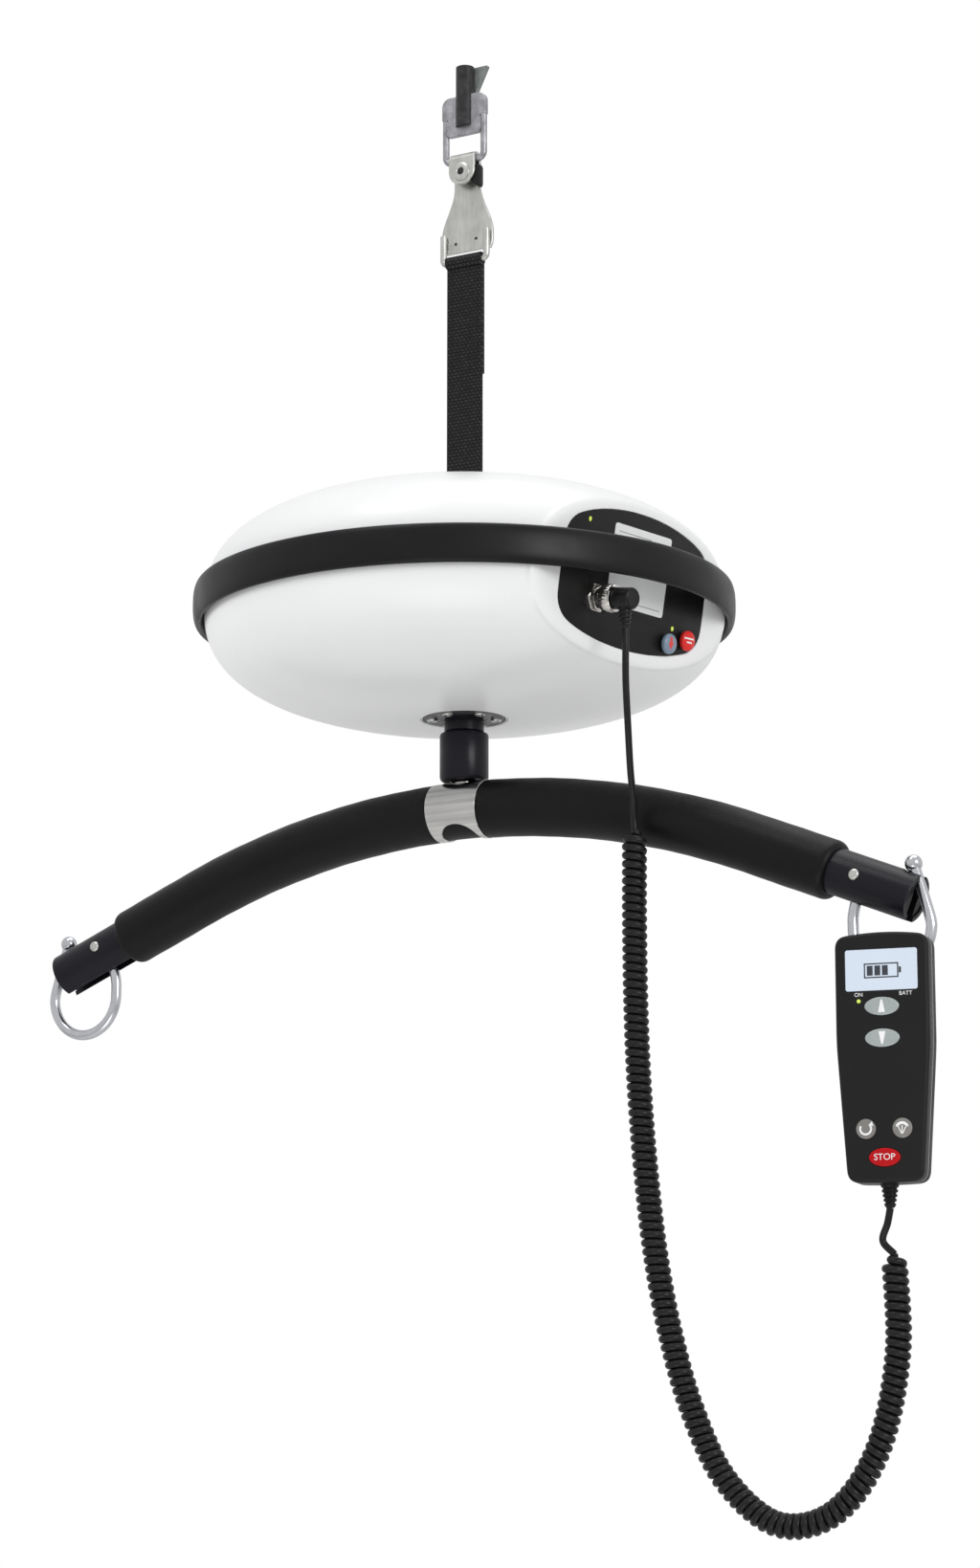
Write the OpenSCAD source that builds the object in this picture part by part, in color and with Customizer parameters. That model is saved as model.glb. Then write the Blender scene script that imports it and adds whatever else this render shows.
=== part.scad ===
// Ceiling track hoist: a strap hoist that climbs its own webbing, with a spreader bar and a handset.
// The origin is the top face of the hanger rod, +Z is up and the spreader bar lies along X.

/* [Hanger] */
// Diameter of the hanger rod
rod_d = 12.5; // [11:0.5:15]
// Free length of the rod above the bracket plate
rod_free = 20; // [16:1:30]
// Diameter of the tapped hole in the rod's top face
rod_thread_d = 6; // [5:0.5:7]
// Depth of that tapped hole
rod_thread_depth = 14; // [10:1:15]
// Width of the bracket plate
bracket_w = 34; // [30:1:40]
// Height of the bracket plate
bracket_h = 28; // [24:1:34]
// Thickness of the bracket plate and the gusset
bracket_t = 4; // [3:0.5:5]
// Diameter of the round bar of both bar loops
bar_d = 4.5; // [4:0.25:5.5]
// Open height of the bracket's bar loop under the plate
loop_window = 16; // [14:1:20]

/* [Hook] */
// Width of the hook's folded neck
hook_neck_w = 20; // [16:1:24]
// Width of the hook's foot
hook_foot_w = 40; // [36:1:48]
// Thickness of the hook plate
hook_t = 2.5; // [2:0.25:3]
// Length of the hook from the hanging bar to its foot
hook_len = 63; // [56:1:75]
// Drop of the rivet below the hanging bar
rivet_drop = 9; // [8.5:0.5:12]
// Diameter of the rivet's shank
rivet_d = 6; // [5:0.5:7]

/* [Strap] */
// Width of the webbing
strap_w = 27; // [24:1:30]
// Thickness of the webbing
strap_t = 2.2; // [1.6:0.2:2.6]
// Outer radius of the webbing wound on the drum
roll_r = 42; // [38:1:44]
// Radius of the drum's core
core_r = 20; // [16:1:24]

/* [Hoist body] */
// Drop of the body's mid plane below the rod's top face
body_drop = 378; // [350:1:420]
// Radius of the body at its mid plane
body_r = 171; // [166:1:176]
// Height of the body above and below its mid plane
body_h = 74; // [71:1:78]
// Wall of both shells
shell_t = 3; // [2.5:0.25:4]
// Radial depth of the bumper ring
ring_depth = 7; // [6:0.5:10]
// Height of the bumper ring
ring_h = 25; // [20:1:28]
// Fullness of the body's profile, where 2 is an ellipse
body_full = 2.55; // [2.45:0.05:2.65]
// Depth of the control panel's flat, in from the body's radius
panel_cut = 27; // [25:0.5:30]
// Turn of the control panel from the front towards +X, in degrees
panel_turn = 80; // [74:1:86]
// Lean of the control panel, so that it faces a little down, in degrees
panel_tilt = 10; // [6:1:14]

/* [Swivel] */
// Diameter of the swivel flange under the body
flange_d = 54; // [50:1:60]
// Diameter of the swivel's neck
neck_d = 26; // [24:0.5:28]
// Diameter of the swivel's sleeve
sleeve_d = 32; // [30:0.5:36]
// Length of the sleeve
sleeve_len = 32; // [27:1:37]

/* [Spreader bar] */
// Diameter of the bar's tube
tube_d = 30; // [28:0.5:31]
// Wall of the tube
tube_t = 3; // [2.5:0.25:3.5]
// Diameter of the foam sleeves
foam_d = 38; // [36:0.5:42]
// Radius of the bar's middle bend
bend_r = 560; // [520:5:620]
// Slope of the bar's straight arms, in degrees
arm_slope = 22; // [20:0.5:24]
// Length of each straight arm
arm_len = 118; // [112:1:126]
// Width of the steel band round the bar's middle
band_w = 38; // [34:1:44]

/* [Sling loops] */
// Diameter of the loop rod
loop_rod_d = 7; // [6:0.25:7.5]
// Radius of the loop's round foot
loop_r = 26; // [23:0.5:28]
// Diameter of the ball on the loop's free end
ball_d = 11; // [10:0.5:12]

/* [Handset] */
// Height of the handset
handset_h = 150; // [144:1:160]
// Width across the handset's head
handset_w = 57; // [54:1:62]
// Width across the handset's foot
handset_foot_w = 46; // [44:1:50]
// Thickness of the handset
handset_t = 24; // [22:1:28]
// Wall of the handset's shells
handset_wall = 2; // [1.5:0.25:2.5]
// Turn of the handset from the front towards +X, in degrees
handset_turn = 12; // [8:1:13]
// Travel of every push button
press = 1.5; // [1:0.1:2]

/* [Cord] */
// Diameter of the cord
cord_d = 4.4; // [4:0.1:4.6]
// Outside diameter of the curled stretch
curl_d = 16; // [14:0.5:18]
// Number of curls
curls = 94; // [84:1:97]

/* [Hidden] */
$fn = 64;

// Named clearances
gap = 0.3;
run_gap = 0.05;
seat = 0.1;

// Hanger and hook places
bar_r = bar_d / 2;
plate_z = -rod_free;
plate_foot = plate_z - bracket_h;
hang_z = plate_foot - loop_window - bar_r;
loop_leg_x = bracket_w / 2 - bar_r;
loop_bend = loop_leg_x - hook_neck_w / 2 - gap;
notch_w = bar_d + seat;
gusset_reach = 9;
gusset_y = 3;
plate_corner = 4;
gusset_h = 18;
weld_len = 12;
rod_lap = 22;
fold_r = bar_r + gap;
hook_back = fold_r + hook_t;
hook_foot = hang_z - hook_len;
rivet_z = hang_z - rivet_drop;
tab_len = 18;
foot_in = 2;
rivet_head_r = 6.5;
rivet_head_t = 1.5;
rivet_r = rivet_d / 2;
latch_t = 2 * fold_r - 2 * gap;
latch_hub_r = rivet_drop - bar_r - gap;
latch_neck = latch_hub_r - 2;
latch_wall = 1.5;
lever_in = hook_neck_w / 2 + 1;
lever_out = lever_in + 4;
lever_foot = 2 - tab_len;
strap_y = fold_r - bar_r - seat;
foot_edge = 1;
strap_leg_x = hook_foot_w / 2 - bar_r - foot_edge;
strap_bend = strap_leg_x - strap_w / 2;
strap_bar_drop = 8;
strap_bar_z = hook_foot - strap_bar_drop;

// Body places, measured from the body's own mid plane
ring_in = body_r + gap;
ring_full = 2.6;
drum_flange_t = 2.5;
drum_flange_lip = 3;
drum_flange_r = roll_r + drum_flange_lip;
roll_side = 1;
drum_half = strap_w / 2 + roll_side + drum_flange_t;
drum_y = strap_y + strap_t / 2 + gap + roll_r;
drum_z = -6;
shaft_r = 6;
cheek_t = 4;
cheek_x = drum_half + 0.5;
cheek_half = 34;
cheek_rise = 18;
bearing_r = 12;
gearbox_r = 28;
gearbox_len = 40;
motor_r = 24;
motor_in = 103;
motor_len = body_r - motor_in;
shaft_in_box = 12;
shaft_out = 3;
shaft_ease = 1.5;
pocket_wall = 8;
flange_t = 5;
pocket_depth = 6;
pocket_floor = body_h - pocket_depth;
pocket_side = 0.5;
pocket_r = flange_d / 2 + pocket_side;
screw_r = 2;
screw_head_r = 3.6;
screw_head_t = 2;
screw_in = 6;
chassis_t = 5;
chassis_in = 73;
chassis_r = body_r - chassis_in;
chassis_foot = -(pocket_floor - pocket_wall);
bezel_t = 5;
panel_t = 2;
panel_d = body_r - panel_cut;
panel_rim = [19.6, 5.6];
panel_half_w = sqrt(body_r * body_r - panel_d * panel_d) - panel_rim[0];
panel_half_h = body_h * pow(1 - pow(panel_d / body_r, body_full), 1 / body_full) - panel_rim[1];
panel_shift = [0, -5];
panel_foot = panel_shift[1] - panel_half_h;
panel_full = 3.5;
button_r = 6.5;
button_rim = 2;
button_stand = 3;
plunger_len = 9;
stop_rise = 16.2;
lowering_rise = 11.2;
lamp_drop = 12.7;
stop_lamp_rise = 5.5;
stop_place = [56, panel_foot + stop_rise];
lowering_place = [38, panel_foot + lowering_rise];
lamp_places = [[-51, panel_shift[1] + panel_half_h - lamp_drop], [43, stop_place[1] + stop_lamp_rise]];
lamp_r = 1.8;
label_w = 57;
label_place = [2.5, 3.3];
label_edge = 9.7;
label_h = 2 * (panel_shift[1] + panel_half_h - label_place[1] - label_edge);
label_t = 0.5;
label_corner = 2;
socket_rise = 27.2;
socket_place = [-36, panel_foot + socket_rise];
socket_r = 8;
socket_len = 8;
socket_bore_r = 4;
socket_bore = 3;
coupling_r = 9;
nose_r = 6;
coupling_len = 9;
plug_w = 14;
plug_reach = socket_len + coupling_len;
relief_len = 12;
relief_r = 4.4;
guide_wall = 4.5;
guide_corner = 4;
guide_w = strap_w + 2 * guide_wall;
guide_d = strap_t + 2 * guide_wall;
guide_h = 14;
guide_lip = 1;
guide_slot = 1.2;
slot_corner = 1;
switch_size = [12, 8, 8];
board_w = 80;
board_h = 56;
board_t = 1.6;
board_back = 12;
post_r = 2.5;
post_in = 10;
battery = [50, 40, 52];
battery_in = [18, 14];
battery_pitch = 58;
battery_x = battery_in[0] - chassis_r;
battery_y = battery_in[1] - chassis_r;
battery_places = [[battery_x, battery_y], [battery_x + battery_pitch, battery_y]];

// Swivel and spreader bar places, measured from the body's mid plane
neck_len = 10;
neck_foot = -(pocket_floor + flange_t + neck_len);
sleeve_top = neck_foot - gap;
sleeve_foot = sleeve_top - sleeve_len;
pin_r = 7;
pin_ease = 1;
collar_r = 11;
collar_t = 6;
foam_r = foam_d / 2;
tube_r = tube_d / 2;
bar_z = sleeve_foot - foam_r - gap;
arm_x = bend_r * sin(arm_slope);
arm_drop = bend_r * (1 - cos(arm_slope));
tip_x = arm_x + arm_len * cos(arm_slope);
tip_z = bar_z - arm_drop - arm_len * sin(arm_slope);
band_cut_r = 9;
band_cut_drop = 4;
seam = 1;
foam_bare = 57;
foam_end = arm_len - foam_bare;
band_half = asin(band_w / 2 / bend_r);

// Sling loop places, measured from the loop's own pivot with +X outwards
pivot_in = 37;
pivot_lift = 2;
pivot_x = tip_x - pivot_in * cos(arm_slope);
pivot_z = tip_z + pivot_in * sin(arm_slope) + pivot_lift;
loop_rod_r = loop_rod_d / 2;
slot_side = 0.75;
slot_w = loop_rod_d + 2 * slot_side;
slot_in = 22;
slot_len = pivot_in + slot_in;
slot_top = 14;
plug_in = 8;
plug_back = 1;
loop_in = -8;
loop_centre = [loop_in + loop_r, -32];
ball_place = [33, 6];
eye_r = 6.5;
loop_rivet_r = 3;
loop_rivet_head = 4.5;
loop_rivet_head_t = 1.5;
loop_leg = 12;
eye_side = 0.6;

// Handset places
clip_gap = 16.5;
clip_t = 3;
clip_w = 12;
clip_len = 58;
clip_base = 2;
clip_base_h = 24;
handset_corner = 7;
handset_waist = 9;
handset_above_clip = 11;
rod_foot = [pivot_x + loop_centre[0], pivot_z + loop_centre[1] - loop_r - body_drop];
clip_ease = 1.2;
clip_top = rod_foot[1] + loop_rod_r + clip_ease + clip_t;
rod_back = handset_t / 2 + clip_base + (clip_gap - clip_base) / 2;
handset_top = clip_top + handset_above_clip;
handset_x = rod_foot[0] + rod_back * sin(handset_turn);
handset_y = -rod_back * cos(handset_turn);
handset_z = handset_top - handset_h / 2;
lens_size = [44, 25];
lens_z = 52;
lens_t = 1.2;
lens_corner = 3;
up_z = 30;
down_z = 11;
pair_z = -43;
pair_x = 11;
lamp_place = [-14, up_z + 6];
stop_z = -60;
key_places = [[0, up_z], [0, down_z], [-pair_x, pair_z], [pair_x, pair_z], [0, stop_z]];
oval = [21, 11];
stop_oval = [19, 11];
round_key = [12, 12];
key_stand = 1;
key_depth = 5;
wall_front = -handset_t / 2;
handset_board_y = -4;
dome_r = 3;
dome_t = 1.2;
handset_screw_r = 2;
handset_screw_in = [7, 10];
gland_len = 14;
gland_r = 5.5;
cord_ease = 0.6;

// The cord's route: the free stretch in front of the bar, then the curled stretch, both chosen by hand
panel_angle = panel_turn - 90;
plug_mid = plug_reach + plug_w / 2;
plug_d = panel_d + plug_mid * cos(panel_tilt) + socket_place[1] * sin(panel_tilt);
plug_z = socket_place[1] * cos(panel_tilt) - plug_mid * sin(panel_tilt);
plug_exit = [
    plug_d * cos(panel_angle) - socket_place[0] * sin(panel_angle),
    plug_d * sin(panel_angle) + socket_place[0] * cos(panel_angle),
    plug_z - body_drop - plug_w / 2 - relief_len
];
gland_exit = [handset_x, handset_y, handset_top - handset_h - gland_len];
upper_route = concat([plug_exit, plug_exit - [0, 0, 12]], [
    [153, -60, -455], [150, -52, -482], [145, -40, -507], [142, -31, -524], [140, -27, -534], [140, -26, -542]
]);
curl_route = [
    [140, -26, -542], [139, -25, -600], [139, -24, -655], [141, -24, -705], [145, -24, -755],
    [151, -24, -805], [160, -23, -853], [174, -22, -900], [196, -21, -943], [230, -20, -969],
    [267, -19, -962], [295, -18, -926], [309, -18, -870], [308, -18, -812]
];
lower_route = concat([[308, -18, -812], [307.6, -19, -804]], [gland_exit - [0, 0, 12], gland_exit]);
helix_r = (curl_d - cord_d) / 2;
rings_per_curl = 8;
curl_sides = 6;
cord_sides = 8;

// Outlines and sweeps
function unit(v) = v / norm(v);
function super_point(a, b, n, t) = [
    a * sign(cos(t)) * pow(abs(cos(t)), 2 / n), b * sign(sin(t)) * pow(abs(sin(t)), 2 / n)
];
function super_outline(a, b, n, steps) = [for (i = [0:steps - 1]) super_point(a, b, n, 360 * i / steps)];
function quarter(a, b, n, up, steps = 20) = [
    for (i = [0:steps])
        let (t = 90 * i / steps)
        i == steps ? [0, up * b] : [a * pow(cos(t), 2 / n), up * b * pow(sin(t), 2 / n)]
];
function oval_outline(size, steps = 40) = [
    for (i = [0:steps - 1]) [size[0] / 2 * cos(360 * i / steps), size[1] / 2 * sin(360 * i / steps)]
];
function corner_arc(a, p, b, r, steps) =
    let (
        u = unit(a - p),
        v = unit(b - p),
        half = acos(u * v) / 2,
        c = p + unit(u + v) * r / sin(half),
        s = p + u * r / tan(half) - c,
        e = p + v * r / tan(half) - c,
        turn = atan2(s[0] * e[1] - s[1] * e[0], s * e),
        start = atan2(s[1], s[0])
    )
    [for (i = [0:steps]) c + r * [cos(start + turn * i / steps), sin(start + turn * i / steps)]];
function rounded(points, r, steps = 6) = [
    for (i = [0:len(points) - 1])
        each corner_arc(
            points[(i + len(points) - 1) % len(points)], points[i], points[(i + 1) % len(points)], r, steps
        )
];
function box_outline(w, h) = [[-w / 2, -h / 2], [w / 2, -h / 2], [w / 2, h / 2], [-w / 2, h / 2]];
function taper_outline(inset) = [
    [-handset_foot_w / 2 + inset, -handset_h / 2 + inset],
    [handset_foot_w / 2 - inset, -handset_h / 2 + inset],
    [handset_w / 2 - inset, handset_waist],
    [handset_w / 2 - inset, handset_h / 2 - inset],
    [-handset_w / 2 + inset, handset_h / 2 - inset],
    [-handset_w / 2 + inset, handset_waist]
];
// A point on the smooth curve through a route, and the route's lengths up to each of its samples
function route_at(pts, u) =
    let (
        n = len(pts) - 1,
        i = min(floor(u), n - 1),
        t = u - i,
        p1 = pts[i],
        p2 = pts[i + 1],
        p0 = i > 0 ? pts[i - 1] : 2 * p1 - p2,
        p3 = i + 2 <= n ? pts[i + 2] : 2 * p2 - p1
    )
    0.5 * (2 * p1 + (p2 - p0) * t + (2 * p0 - 5 * p1 + 4 * p2 - p3) * t * t
        + (3 * p1 - p0 - 3 * p2 + p3) * t * t * t);
function sums(steps, i = 0, total = 0) =
    i == len(steps) ? [total] : concat([total], sums(steps, i + 1, total + steps[i]));
function ring(c, u, v, r, sides) = [
    for (k = [0:sides - 1]) c + r * (u * cos(360 * k / sides) + v * sin(360 * k / sides))
];
function tube_faces(rings, sides) = concat(
    [
        for (i = [0:rings - 2]) for (k = [0:sides - 1])
            let (a = i * sides + k, b = i * sides + (k + 1) % sides)
            each [[a, a + sides, b], [b, a + sides, b + sides]]
    ],
    [for (k = [1:sides - 2]) [0, k, k + 1]],
    [for (k = [1:sides - 2]) [for (m = [0, k + 1, k]) (rings - 1) * sides + m]]
);

// Placing and small shapes
module at_body() translate([0, 0, -body_drop]) children();
module to_panel() rotate([0, 0, panel_angle]) translate([panel_d, 0, 0])
    rotate([0, panel_tilt, 0]) children();
module on_panel(p = [0, 0]) at_body() to_panel() translate([0, p[0], p[1]]) rotate([0, 90, 0]) children();
module on_loop(side) at_body() translate([side * pivot_x, 0, pivot_z])
    mirror([side < 0 ? 1 : 0, 0, 0]) children();
module in_handset() translate([handset_x, handset_y, handset_z]) rotate([0, 0, handset_turn]) children();
module across_x(r, x0, x1) translate([x0, 0, 0]) rotate([0, 90, 0]) cylinder(r = r, h = x1 - x0);
module across_y(r, y0, y1) translate([0, y0, 0]) rotate([-90, 0, 0]) cylinder(r = r, h = y1 - y0);
module upright(y0, y1, points) translate([0, y1, 0]) rotate([90, 0, 0])
    linear_extrude(height = y1 - y0) polygon(points);
module rod_to(p, q, r) {
    d = q - p;
    translate(p) rotate([0, acos(d[2] / norm(d)), atan2(d[1], d[0])]) cylinder(r = r, h = norm(d));
}
module bar_loop(x, top, foot, bend) {
    for (s = [-1, 1]) {
        translate([s * x, 0, foot + bend]) cylinder(r = bar_r, h = top - foot - bend);
        translate([s * (x - bend), 0, foot + bend]) rotate([90, 0, 0])
            rotate([0, 0, s > 0 ? 270 : 180])
                rotate_extrude(angle = 90) translate([bend, 0]) circle(r = bar_r);
    }
    translate([0, 0, foot]) across_x(bar_r, bend - x, x - bend);
}
module body_solid() rotate_extrude() polygon(concat(
    quarter(body_r, body_h, body_full, 1),
    [for (i = [1:20]) quarter(body_r, body_h, body_full, -1)[20 - i]]
));
module half_shell(up) rotate_extrude() polygon(concat(
    quarter(body_r, body_h, body_full, up),
    [for (i = [0:20]) quarter(body_r - shell_t, body_h - shell_t, body_full, up)[20 - i]]
));
module beyond_panel(depth) to_panel() translate([-depth, -2 * body_r, -2 * body_h])
    cube([body_r, 4 * body_r, 4 * body_h]);
module panel_slab(from, to) to_panel() translate([from, -2 * body_r, -2 * body_h])
    cube([to - from, 4 * body_r, 4 * body_h]);
module cord_tube(route, from_top) {
    per = 2;
    n = (len(route) - 1) * per;
    centres = [for (i = [0:n]) route_at(route, i / per)];
    rings = [
        for (i = [0:n])
            let (
                t = i == 0 || i == n ? [0, 0, from_top] : unit(centres[i + 1] - centres[i - 1]),
                u = unit(cross([0, 1, 0], t)),
                v = cross(t, u)
            )
            each ring(centres[i], u, v, cord_d / 2, cord_sides)
    ];
    polyhedron(points = rings, faces = tube_faces(n + 1, cord_sides), convexity = 8);
}

module hanger_rod() color("dimgray") difference() {
    translate([0, 0, plate_z - rod_lap]) cylinder(d = rod_d, h = rod_free + rod_lap);
    translate([-rod_d, -bracket_t / 2, plate_z - rod_lap - 1]) cube([2 * rod_d, 2 * rod_d, rod_lap + 1]);
    translate([0, 0, -rod_thread_depth]) cylinder(d = rod_thread_d, h = rod_thread_depth + 1);
}

module hanger_gusset() color("slategray") difference() {
    upright(gusset_y, gusset_y + bracket_t, [
        [gusset_y, 0], [rod_d / 2 + gusset_reach, 0], [rod_d / 2, -gusset_h], [gusset_y, -gusset_h]
    ]);
    translate([0, 0, -gusset_h - 1]) cylinder(d = rod_d + 2 * seat, h = gusset_h + 2);
}

// The plate is notched at both sides of its foot for the legs of the bar loop
module hanger_plate() color("lightsteelblue") difference() {
    translate([0, 0, plate_z - bracket_h / 2])
        upright(-bracket_t / 2, bracket_t / 2, rounded(box_outline(bracket_w, bracket_h), plate_corner));
    for (s = [-1, 1]) translate([s * (bracket_w / 2) - notch_w, -bracket_t, plate_foot - 1])
        cube([2 * notch_w, 2 * bracket_t, weld_len + seat + 1]);
}

module hanger_loop() color("silver") bar_loop(loop_leg_x, plate_foot + weld_len, hang_z, loop_bend);

// One plate: a long back, a fold over the hanging bar and a short round tab in front
module hook_plate() color("silver") difference() {
    union() {
        intersection() {
            translate([0, 0, hang_z]) across_x(hook_back, -hook_neck_w / 2, hook_neck_w / 2);
            translate([-hook_foot_w, -hook_foot_w, hang_z]) cube(2 * hook_foot_w);
        }
        upright(fold_r, hook_back, [
            [-hook_neck_w / 2, hang_z], [-hook_neck_w / 2, hang_z - tab_len],
            [-hook_foot_w / 2, hook_foot + weld_len], [-hook_foot_w / 2 + foot_in, hook_foot],
            [hook_foot_w / 2 - foot_in, hook_foot], [hook_foot_w / 2, hook_foot + weld_len],
            [hook_neck_w / 2, hang_z - tab_len], [hook_neck_w / 2, hang_z]
        ]);
        upright(-hook_back, -fold_r, concat(
            [[hook_neck_w / 2, hang_z], [-hook_neck_w / 2, hang_z]],
            [
                for (a = [180:15:360])
                    [hook_neck_w / 2 * cos(a), hang_z - tab_len + hook_neck_w / 2 + hook_neck_w / 2 * sin(a)]
            ]
        ));
    }
    translate([0, 0, hang_z]) across_x(fold_r, -hook_neck_w, hook_neck_w);
    translate([0, 0, rivet_z]) across_y(rivet_r + seat, -2 * hook_back, 2 * hook_back);
}

module hook_rivet() color("lightgray") translate([0, 0, rivet_z]) difference() {
    union() {
        across_y(rivet_r, -hook_back, hook_back);
        across_y(rivet_head_r, -hook_back - rivet_head_t, -hook_back);
        across_y(rivet_head_r, hook_back, hook_back + rivet_head_t);
    }
    across_y(rivet_r / 2, -2 * hook_back, 2 * hook_back);
}

module strap_bar() color("silver") translate([0, strap_y, 0])
    bar_loop(strap_leg_x, hook_foot + weld_len, strap_bar_z, strap_bend);

// A cam on the rivet that closes the hook's mouth under the hanging bar, with a thumb lever
module safety_latch() color("#222222") translate([0, 0, rivet_z]) difference() {
    union() {
        across_y(latch_hub_r, -latch_t / 2, latch_t / 2);
        upright(-latch_t / 2, latch_t / 2, [
            [0, latch_neck], [lever_out - 1, latch_neck], [lever_out, latch_neck - 3],
            [lever_out, lever_foot], [lever_in, lever_foot], [lever_in - 1, -latch_neck], [0, -latch_neck]
        ]);
    }
    across_y(rivet_r + run_gap, -latch_t, latch_t);
    translate([-latch_hub_r - rivet_r - latch_wall, -latch_t, -latch_hub_r])
        cube([latch_hub_r, 2 * latch_t, 2 * latch_hub_r]);
}

module lift_strap() color("#202020") {
    loop_bore = bar_r + gap;
    translate([0, strap_y, strap_bar_z]) difference() {
        across_x(loop_bore + strap_t, -strap_w / 2, strap_w / 2);
        across_x(loop_bore, -strap_w, strap_w);
    }
    strap_foot = drum_z - body_drop;
    translate([-strap_w / 2, strap_y - strap_t / 2, strap_foot])
        cube([strap_w, strap_t, strap_bar_z - loop_bore - strap_t / 4 - strap_foot]);
}

module upper_shell() color("white") at_body() difference() {
    half_shell(1);
    beyond_panel(bezel_t + seat);
    translate([0, strap_y, 0]) linear_extrude(height = 2 * body_h)
        polygon(rounded(box_outline(guide_w + 2 * seat, guide_d + 2 * seat), guide_corner));
}

// The lower shell has a round pocket in its foot that takes the swivel's flange
module lower_shell() color("white") at_body() difference() {
    union() {
        half_shell(-1);
        translate([0, 0, shell_t / 2 - body_h])
            cylinder(r = pocket_r + pocket_wall, h = body_h - shell_t / 2 + chassis_foot);
    }
    beyond_panel(bezel_t + seat);
    translate([0, 0, -body_h - 1]) cylinder(r = pocket_r, h = body_h + 1 - pocket_floor);
    translate([0, 0, -body_h - 1]) cylinder(r = pin_r + pin_ease, h = body_h);
    screw_ring(screw_r + seat, -body_h, chassis_foot + chassis_t);
}

module bumper_ring() color("#1c1c1c") at_body() rotate_extrude() translate([ring_in + ring_depth / 2, 0])
    polygon(super_outline(ring_depth / 2, ring_h / 2, ring_full, 32));

module panel_bezel() color("whitesmoke") difference() {
    at_body() intersection() {
        body_solid();
        panel_slab(-bezel_t, 0);
    }
    on_panel(panel_shift) translate([0, 0, -panel_t]) linear_extrude(height = 2 * panel_t)
        polygon(super_outline(panel_half_h + seat, panel_half_w + seat, panel_full, 48));
    panel_holes();
}

module control_panel() color("#181818") difference() {
    on_panel(panel_shift) translate([0, 0, -panel_t]) linear_extrude(height = panel_t)
        polygon(super_outline(panel_half_h, panel_half_w, panel_full, 48));
    panel_holes();
    for (p = lamp_places)
        on_panel(p) translate([0, 0, -2 * panel_t]) cylinder(r = lamp_r + seat, h = 4 * panel_t);
}

module panel_holes() {
    on_panel(socket_place) translate([0, 0, -2 * bezel_t]) cylinder(r = socket_r + seat, h = 4 * bezel_t);
    for (p = [stop_place, lowering_place])
        on_panel(p) translate([0, 0, -2 * bezel_t]) cylinder(r = button_r / 2 + gap, h = 4 * bezel_t);
}

module label_plate() color("white") on_panel(label_place) linear_extrude(height = label_t)
    polygon(rounded(box_outline(label_h, label_w), label_corner));

module panel_lamps() color("yellowgreen") for (p = lamp_places) on_panel(p)
    translate([0, 0, -panel_t]) cylinder(r = lamp_r, h = panel_t + lamp_r / 3);

module panel_socket() color("silver") on_panel(socket_place) difference() {
    translate([0, 0, -bezel_t]) cylinder(r = socket_r, h = bezel_t + socket_len);
    translate([0, 0, socket_len - socket_bore]) cylinder(r = socket_bore_r, h = socket_bore + 1);
}

module panel_button() translate([0, 0, press + gap]) {
    rotate_extrude() polygon(concat([[0, 0], [button_r, 0], [button_r, button_rim]], [
        for (i = [1:8]) [button_r * cos(90 * i / 8), button_rim + button_stand * sin(90 * i / 8)]
    ]));
    translate([0, 0, -plunger_len]) cylinder(r = button_r / 2, h = plunger_len);
}
module emergency_stop() color("crimson") on_panel(stop_place) panel_button();
module lowering_button() color("lightslategray") on_panel(lowering_place) panel_button();

module strap_guide() color("#2a2a2a") at_body() translate([0, strap_y, body_h - guide_h]) difference() {
    linear_extrude(height = guide_h + guide_lip)
        polygon(rounded(box_outline(guide_w, guide_d), guide_corner));
    translate([0, 0, -1]) linear_extrude(height = guide_h + guide_lip + 2)
        polygon(rounded(box_outline(strap_w + 2 * guide_slot, strap_t + 2 * guide_slot), slot_corner));
}

// A base disc on the pocket's floor and two cheeks that carry the drum
module chassis() color("gray") at_body() difference() {
    union() {
        translate([0, 0, chassis_foot]) cylinder(r = chassis_r, h = chassis_t);
        for (s = [-1, 1])
            translate([s > 0 ? cheek_x : -cheek_x - cheek_t, drum_y - cheek_half, chassis_foot])
                cube([cheek_t, 2 * cheek_half, drum_z + cheek_rise - chassis_foot]);
    }
    translate([0, 0, -body_h]) cylinder(r = pin_r + pin_ease, h = body_h);
    translate([0, drum_y, drum_z]) across_x(bearing_r + seat, 0, 2 * cheek_x);
    translate([0, drum_y, drum_z]) across_x(shaft_r + shaft_ease, -2 * cheek_x, 0);
    screw_ring(screw_r + seat, -body_h, 0);
}

module gear_motor() color("darkgray") at_body() translate([0, drum_y, drum_z]) difference() {
    box_face = -cheek_x - cheek_t;
    union() {
        across_x(gearbox_r, box_face - gearbox_len, box_face);
        across_x(motor_r, box_face - gearbox_len - motor_len, box_face - gearbox_len);
    }
    across_x(shaft_r + run_gap, box_face - shaft_in_box - 1, box_face + 1);
}

module drum_bearing() color("lightgray") at_body() translate([0, drum_y, drum_z]) difference() {
    across_x(bearing_r, cheek_x, cheek_x + cheek_t);
    across_x(shaft_r + run_gap, cheek_x - 1, cheek_x + cheek_t + 1);
}

module drum() color("gainsboro") at_body() translate([0, drum_y, drum_z]) {
    across_x(core_r, -drum_half + drum_flange_t, drum_half - drum_flange_t);
    across_x(drum_flange_r, -drum_half, -drum_half + drum_flange_t);
    across_x(drum_flange_r, drum_half - drum_flange_t, drum_half);
    across_x(shaft_r, -cheek_x - cheek_t - shaft_in_box, -drum_half);
    across_x(shaft_r, drum_half, cheek_x + cheek_t + shaft_out);
}

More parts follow.
